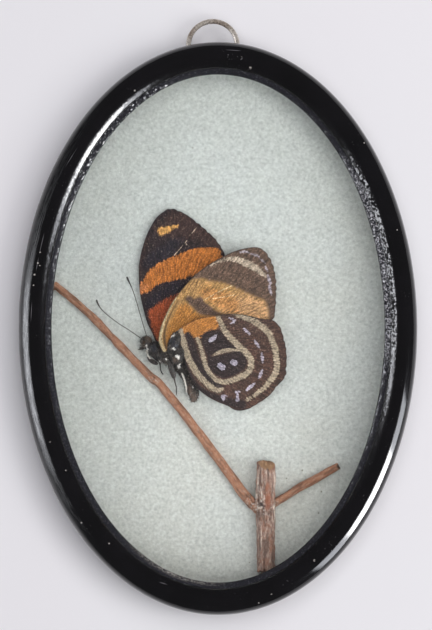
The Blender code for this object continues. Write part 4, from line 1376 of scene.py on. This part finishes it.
# Rounded lumps that are joined to it: x, y, z, the three half sizes, and the turn in the paper's plane
BODY_LUMPS = [
    (-15.05, -2.8, BODY_HEIGHT, 1.25, 1.20, 1.10, 0),
    (-13.3, -4.2, BODY_HEIGHT + 0.35, 1.20, 1.60, 0.90, 40),
    (-9.1, -3.0, BODY_HEIGHT + 2.00, 1.20, 2.70, 0.80, 22),
    (-8.5, -5.4, BODY_HEIGHT + 1.90, 1.50, 2.20, 0.85, 12),
    (-11.0, -6.3, BODY_HEIGHT + 0.60, 1.30, 1.00, 0.80, 20),
]
BODY_MARKS = {
    "white": [
        [(-9.4, -4.2, 0.5), (-9.1, -4.3, 0.55)],
        [(-8.75, -5.75, 0.5), (-8.3, -5.95, 0.62), (-8.2, -6.3, 0.3)],
        [(-8.1, -7.6, 0.45), (-8.15, -8.15, 0.5)], [(-12.1, -6.95, 0.4), (-11.8, -7.25, 0.4)],
        [(-10.9, -6.4, 0.35), (-10.5, -6.7, 0.4)],
        [(-10.5, -2.2, 0.30), (-9.8, -1.7, 0.36), (-9.2, -1.35, 0.30)],
        [(-11.0, -3.1, 0.3), (-10.9, -3.6, 0.35)], [(-5.3, -12.2, 0.25), (-5.2, -12.5, 0.2)],
        [(-14.95, -3.6, 0.4), (-14.8, -4.8, 0.5)],
    ],
    "brown": [
        [(-6.2, -12.8, 1.4), (-5.4, -14.8, 1.8)], [(-9.0, -6.4, 0.8), (-8.6, -6.6, 0.8)],
        [(-14.9, -2.0, 1.0), (-13.9, -2.3, 1.0)],
    ],
    # The blue patches are painted sheen: a blue shimmer on the dark hair
    "blue": [[(-9.4, -2.6, 1.6), (-8.8, -3.6, 1.4)], [(-13.9, -3.4, 0.9), (-13.2, -4.4, 1.0)]],
}
EYE = (-15.45, -2.95, BODY_HEIGHT + 0.72)
EYE_RADIUS = 0.56
# Hairs: half width at the root and at the tip, and the least that a face with hairs looks up
HAIR_ROOT = 0.055
HAIR_TIP = 0.006
HAIR_FACING = -0.4
# Antennae and legs: x, y, height over the paper and radius
ANTENNAE = {
    "antenna_upper": [
        (-15.0, -1.42, 2.0, 0.10), (-15.7, 0.9, 2.1, 0.095), (-16.4, 3.3, 2.1, 0.09), (-17.2, 6.1, 2.0, 0.09),
        (-18.0, 8.4, 1.8, 0.11), (-18.6, 9.7, 1.7, 0.19), (-19.0, 10.6, 1.6, 0.21), (-19.1, 10.9, 1.6, 0.10),
    ],
    "antenna_lower": [
        (-16.1, -2.1, 1.9, 0.10), (-18.7, -0.3, 1.9, 0.095), (-20.9, 1.1, 1.8, 0.09), (-23.0, 2.7, 1.6, 0.09),
        (-24.4, 4.0, 1.4, 0.11), (-25.1, 5.1, 1.3, 0.19), (-25.4, 5.8, 1.2, 0.20), (-25.45, 6.05, 1.2, 0.10),
    ],
}
LEGS = {
    "foreleg": [
        (-15.0, -4.6, 1.9, 0.14), (-14.75, -5.6, 1.9, 0.18), (-14.4, -6.4, 1.8, 0.34),
        (-13.6, -7.05, 1.7, 0.46), (-12.9, -7.4, 1.7, 0.34), (-12.6, -7.5, 1.7, 0.16),
    ],
    "midleg_far": [
        (-12.2, -7.0, 1.1, 0.16), (-12.1, -8.0, 0.9, 0.13), (-12.0, -8.9, 0.6, 0.11),
        (-11.7, -9.5, 0.3, 0.13), (-11.5, -9.7, 0.25, 0.08),
    ],
    "midleg_near": [
        (-10.3, -6.6, 3.0, 0.42), (-9.9, -7.9, 2.9, 0.60), (-9.55, -9.0, 2.5, 0.62),
        (-9.25, -10.1, 2.1, 0.48), (-9.15, -10.6, 1.9, 0.20), (-9.0, -11.4, 1.5, 0.13),
        (-8.75, -12.4, 1.1, 0.11), (-8.75, -13.4, 0.6, 0.11), (-8.7, -14.0, 0.4, 0.07),
    ],
    "hindleg_near": [
        (-7.65, -9.2, 2.3, 0.24), (-7.15, -10.4, 2.6, 0.22), (-6.8, -11.6, 2.7, 0.20),
        (-6.65, -12.6, 2.6, 0.17), (-6.65, -13.4, 2.4, 0.13),
    ],
}
# How far the dark club reaches from an antenna's tip
CLUB_LENGTH = 1.6
# Pale lines along two of the legs: x, y and width
WHITE_LINES = {
    "foreleg": [(-15.0, -4.0, 0.45), (-14.8, -4.9, 0.6), (-14.4, -5.9, 0.55), (-14.15, -6.3, 0.3)],
    "hindleg_near": [(-7.5, -9.4, 0.34), (-7.0, -10.9, 0.40), (-6.7, -12.2, 0.36), (-6.65, -13.4, 0.3)],
}


def insect_material(name, ground, layers):
    """Dried insect skin under short hair: dark, a little greasy, with pale spots of scales."""
    made, tree, shader = new_material(name, roughness=0.55, specular_ior_level=0.4)
    where = add(tree, "TexCoord", out="Object")
    tufts = grain(tree, 0.4, 4.0, where, 0.65)
    patches = grain(tree, 1.3, 3.0, where)
    colour = paint(
        tree,
        ground,
        [
            (between(tree, patches, 0.42, 0.62, 0.0, 0.55), "#473C36"),
            (between(tree, tufts, 0.53, 0.65, 0.0, 0.6), "#766A62"),
            (between(tree, tufts, 0.48, 0.36, 0.0, 0.9), "#0E0B0E"),
        ],
    )
    colour = paint_marks(tree, colour, between(tree, tufts, 0.3, 0.7, -0.14, 0.14), layers)
    rough = between(tree, tufts, 0.3, 0.7, 0.42, 0.75)
    relief = add(tree, "Bump", {"Height": tufts, "Strength": 0.8, "Distance": 0.12 * MM})
    connect(tree, shader, base_color=colour, roughness=rough, normal=relief)
    return made


def hair_material():
    """Insect hair: thin grey-brown bristles."""
    made, tree, shader = new_material("insect_hair", roughness=0.5, specular_ior_level=0.4)
    shade = between(tree, grain(tree, 0.8, 2.0), 0.54, 0.62)
    connect(tree, shader, base_color=paint(tree, linear("#2A2322"), [(shade, "#93877E")]))
    return made


def eye_material():
    """A dried compound eye: dark and glossy, with a faint pattern of facets."""
    made, tree, shader = new_material("dried_insect_eye", roughness=0.25)
    where = add(tree, "TexCoord", out="Object")
    facets = add(tree, "TexVoronoi", {"Scale": 1 / (0.12 * MM), "Vector": where})
    colour = paint(tree, linear("#2C2019"), [(between(tree, facets, 0.3, 0.7, 0.0, 0.6), "#5E4A38")])
    relief = add(tree, "Bump", {"Height": facets, "Strength": 0.3, "Distance": 0.03 * MM})
    connect(tree, shader, base_color=colour, normal=relief)
    return made


def head_lean(place):
    """Hair on the head leans forwards, on the thorax back along the body."""
    return Vector((-0.35, -0.15, 0.0)) if place.x < HEAD_END else Vector((0.2, -0.6, 0.0))


def grow_hairs(name, skin, count, length, lean, keep, finish, seed):
    """Thin bristles on the parts of a skin mesh that keep() chooses, leaning the way that lean() gives."""
    draw = random.Random(seed)
    faces = [f for f in skin.polygons if keep(f.center / MM) and f.normal.z > HAIR_FACING]
    bm = bmesh.new()
    for _ in range(count):
        face = draw.choice(faces)
        root = Vector(face.center) + Vector((draw.uniform(-0.1, 0.1), draw.uniform(-0.1, 0.1), 0.0)) * MM
        sway = Vector((draw.gauss(0, 0.3), draw.gauss(0, 0.3), draw.gauss(0, 0.2)))
        heading = (Vector(face.normal) * 0.7 + lean(root / MM) + sway).normalized()
        tall = length * draw.uniform(0.55, 1.25)
        upright = heading.to_track_quat("Z", "Y").to_matrix().to_4x4()
        placing = Matrix.Translation(root + heading * (tall * 0.42 * MM)) @ upright
        bmesh.ops.create_cone(
            bm,
            cap_ends=True,
            segments=3,
            radius1=HAIR_ROOT * MM,
            radius2=HAIR_TIP * MM,
            depth=tall * MM,
            matrix=placing,
        )
    return mesh_object(name, bm, [finish])


class FramedButterflyBody(bpy.types.Operator):
    """Builds the head, thorax and abdomen with their hair"""

    bl_idname = "framed_butterfly.body"
    bl_label = "Body"

    def execute(self, context):
        bm = bmesh.new()
        line = rounded_path(BODY_SPINE, 4)
        sweep(bm, [(x, y, 0.0, r) for x, y, r in line], 24)
        bmesh.ops.scale(bm, vec=(1, 1, BODY_FLATNESS), verts=bm.verts)
        bmesh.ops.translate(bm, vec=point(0, 0, BODY_HEIGHT), verts=bm.verts)
        for x, y, z, size_x, size_y, size_z, turn in BODY_LUMPS:
            placing = (
                Matrix.Translation(point(x, y, z))
                @ Matrix.Rotation(math.radians(-turn), 4, "Z")
                @ Matrix.Diagonal((size_x * MM, size_y * MM, size_z * MM, 1))
            )
            bmesh.ops.create_icosphere(bm, subdivisions=4, radius=1.0, matrix=placing)
        sweep(bm, PALP, 12)
        mesh = one_skin("insect_skin", bm, BODY_VOXEL)
        places = vertex_places(mesh)
        normals = vertex_normals(mesh)
        _, share, piece = line_gap(places[:, :2], line)
        moved = places.copy()
        for i, row in enumerate(places):
            at = Vector(row)
            tuft = noise.noise(at * 2.4) * 0.10 + noise.noise(at * 5.5) * 0.05
            abdomen = min(1.0, max(0.0, (-8.6 - at.y) / 1.5))
            ring = -0.09 * abdomen * abs(math.sin((piece[i] + share[i]) * 1.55)) ** 6
            moved[i] += normals[i] * (tuft + ring)
        moved[:, 2] = np.maximum(moved[:, 2], PAPER + LOWEST_SKIN)
        write_places(mesh, moved)
        layers = {
            # Painted sheen in blue
            "blue": ("#1B1D2A", 0.5, 0.8),
            "brown": ("#7A6456", 0.5, 0.6),
            "white": ("#F2ECE6", 0.14, 1.0),
        }
        ground = context.scene.framed_butterfly_insect.body
        body = linked_object("insect_skin", mesh, [insect_material("dried_insect_skin", ground, layers)])
        mark_surface(body, BODY_MARKS)
        settle(body, "insect_body", "butterfly_body")
        self.hair_and_eye(mesh)
        return {"FINISHED"}

    def hair_and_eye(self, skin):
        """The hair, which is longer on the head and thorax, and the eye that shows."""
        hair = hair_material()
        backwards = Vector((0.15, -1.0, 0.0))
        for name, count, length, lean, keep, seed in (
            ("head_and_thorax_hair", 900, 0.62, head_lean, lambda at: at.y > WAIST, 4),
            ("abdomen_hair", 420, 0.4, lambda at: backwards, lambda at: at.y <= WAIST, 5),
        ):
            settle(grow_hairs(name, skin, count, length, lean, keep, hair, seed), "insect_body")
        bm = bmesh.new()
        placing = Matrix.Translation(point(*EYE)) @ Matrix.Diagonal((1, 1.1, 0.7, 1))
        bmesh.ops.create_uvsphere(bm, u_segments=28, v_segments=18, radius=EYE_RADIUS * MM, matrix=placing)
        settle(mesh_object("eye", bm, [eye_material()]), "insect_body")


class FramedButterflyLimbs(bpy.types.Operator):
    """Builds the antennae and the legs"""

    bl_idname = "framed_butterfly.limbs"
    bl_label = "Antennae and legs"

    def execute(self, context):
        finish = insect_material("insect_limb_skin", linear("#2A2422"), {"white": ("#DDD5CC", 0.1, 0.95)})
        feeler = insect_material("antenna_skin", linear("#4A4340"), {"tip": ("#2A2220", 0.4, 0.9)})
        for node, path in ANTENNAE.items():
            rows = rounded_path(path, 14)
            # Every other ring is a little thinner, which gives the antenna its segments
            ringed = [(x, y, PAPER + z, r * (1.0 - 0.14 * (i % 2))) for i, (x, y, z, r) in enumerate(rows)]
            bm = bmesh.new()
            sweep(bm, ringed, 10)
            made = mesh_object(node + "_ringed", bm, [feeler])
            from_tip = np.linalg.norm(vertex_places(made.data)[:, :2] - rows[-1, :2], axis=1)
            write_attribute(made.data, "tip", CLUB_LENGTH - from_tip)
            settle(made, "insect_limb", node)
        for node, path in LEGS.items():
            bm = bmesh.new()
            sweep(bm, [(x, y, PAPER + z, r) for x, y, z, r in rounded_path(path, 5)], 12)
            made = mesh_object(node + "_jointed", bm, [finish])
            if node in WHITE_LINES:
                mark_surface(made, {"white": [WHITE_LINES[node]]})
            else:
                write_attribute(made.data, "white", np.full(len(made.data.vertices), -1.0))
            settle(made, "insect_limb", node)
        return {"FINISHED"}


# Floor, light and camera

FLOOR_REACH = 2.0
ROOM_LIGHT = 0.14
# Lamps: the setting that powers it and its share of that, then azimuth, elevation and distance, the size, the
# colour, and True where it lights matt things or False where it is only mirrored
LAMPS = {
    "key": ("key", 1.0, (-14, 48, 0.8), (0.44, 0.40), "#FFFDFB", True),
    "overhead": ("overhead", 1.0, (38, 77.5, 0.9), (1.0, 1.0), "#FEFCFF", True),
    "low window": ("window", 0.5, (-31, 18, 0.8), (0.26, 0.32), "#FFFFFF", False),
    "window glow": ("window", 0.45, (-32, 18, 0.82), (0.58, 0.36), "#F4F7FF", False),
    "left window": ("window", 0.40, (187, 19, 0.8), (0.38, 0.35), "#F6F8FF", False),
}
# The camera's place, its sensor's height, and the height over the back plane at which one of the photo's
# PHOTO_HEIGHT pixels is PIXEL high
CAMERA_PLACE = (-0.43, 2.82, 450.0)
SENSOR = 36.0
SHARP_LEVEL = 6.0
PHOTO_HEIGHT = 630
PIXEL = 0.20987


class FramedButterflyStudio(bpy.types.Operator):
    """Sets the floor, the lights and the camera"""

    bl_idname = "framed_butterfly.studio"
    bl_label = "Floor, light and camera"

    def execute(self, context):
        settings = context.scene.framed_butterfly_stage
        bm = bmesh.new()
        bmesh.ops.create_grid(bm, x_segments=1, y_segments=1, size=FLOOR_REACH)
        finish, tree, shader = new_material("plain_pale_floor", roughness=0.9, specular_ior_level=0.15)
        cloud = between(tree, grain(tree, 60.0, 2.0), 0.3, 0.7, 0.0, 0.4)
        connect(tree, shader, base_color=paint(tree, settings.floor, [(cloud, "#EFECF0")]))
        floor = mesh_object("floor", bm, [finish])
        world = bpy.data.worlds.new("dim room")
        context.scene.world = world
        world.use_nodes = True
        room = world.node_tree.nodes["Background"].inputs
        room["Color"].default_value = linear("#F0F1F5")
        room["Strength"].default_value = ROOM_LIGHT
        for name, (owner, share, place, size, hex_colour, lights) in LAMPS.items():
            self.lamp(name, share * getattr(settings, owner), place, size, hex_colour, lights)
        camera = bpy.data.objects.new("camera", bpy.data.cameras.new("camera"))
        context.scene.collection.objects.link(camera)
        camera.location = point(*CAMERA_PLACE)
        camera.data.sensor_fit = "VERTICAL"
        camera.data.sensor_height = SENSOR
        camera.data.lens = SENSOR * (CAMERA_PLACE[2] - SHARP_LEVEL) / (PHOTO_HEIGHT * PIXEL)
        camera.data.clip_start = 0.01
        context.scene.camera = camera
        context.scene.view_settings.view_transform = "Standard"
        context.scene.view_settings.look = "None"
        return {"FINISHED"}

    def lamp(self, name, power, place, size, hex_colour, lights):
        """A rectangle of light that faces the frame's middle. It either lights matt things or is mirrored."""
        lamp = bpy.data.lights.new(name, "AREA")
        lamp.shape = "RECTANGLE"
        lamp.size, lamp.size_y = size
        lamp.energy = power
        lamp.color = linear(hex_colour)[:3]
        made = bpy.data.objects.new(name, lamp)
        bpy.context.scene.collection.objects.link(made)
        azimuth, elevation, distance = place
        turn, rise = math.radians(azimuth), math.radians(elevation)
        outwards = Vector((math.cos(turn) * math.cos(rise), math.sin(turn) * math.cos(rise), math.sin(rise)))
        made.location = outwards * distance
        made.rotation_euler = outwards.to_track_quat("Z", "Y").to_euler()
        made.visible_diffuse = lights
        made.visible_glossy = not lights
        made.visible_transmission = not lights


class FramedButterflyPanel(bpy.types.Panel):
    """Lists the steps of the framed butterfly"""

    bl_idname = "VIEW3D_PT_framed_butterfly"
    bl_label = "Framed butterfly"
    bl_space_type = "VIEW_3D"
    bl_region_type = "UI"
    bl_category = "Framed butterfly"

    def draw(self, context):
        for owner in ("frame", "twig", "insect", "stage"):
            group = getattr(context.scene, "framed_butterfly_" + owner)
            for name in group.bl_rna.properties.keys():
                if name not in ("rna_type", "name"):
                    self.layout.prop(group, name)
        for step in STEPS:
            self.layout.operator(step.bl_idname)


GROUPS = {
    "framed_butterfly_frame": FramedButterflyFrame,
    "framed_butterfly_twig": FramedButterflyTwig,
    "framed_butterfly_insect": FramedButterflyInsect,
    "framed_butterfly_stage": FramedButterflyStage,
}
STEPS = [
    FramedButterflyMoulding,
    FramedButterflyGlass,
    FramedButterflyCard,
    FramedButterflyLoop,
    FramedButterflyBark,
    FramedButterflyWings,
    FramedButterflyBody,
    FramedButterflyLimbs,
    FramedButterflyStudio,
]


def register():
    """Makes the settings, the operators and the panel known to Blender."""
    for each in [*GROUPS.values(), *STEPS, FramedButterflyPanel]:
        bpy.utils.register_class(each)
    for name, group in GROUPS.items():
        setattr(bpy.types.Scene, name, bpy.props.PointerProperty(type=group))


def unregister():
    """Takes them away again."""
    for name in GROUPS:
        delattr(bpy.types.Scene, name)
    for each in [FramedButterflyPanel, *STEPS, *GROUPS.values()]:
        bpy.utils.unregister_class(each)


def main():
    """Builds every piece in order."""
    register()
    for step in STEPS:
        group, action = step.bl_idname.split(".")
        getattr(getattr(bpy.ops, group), action)()


if __name__ == "__main__":
    main()
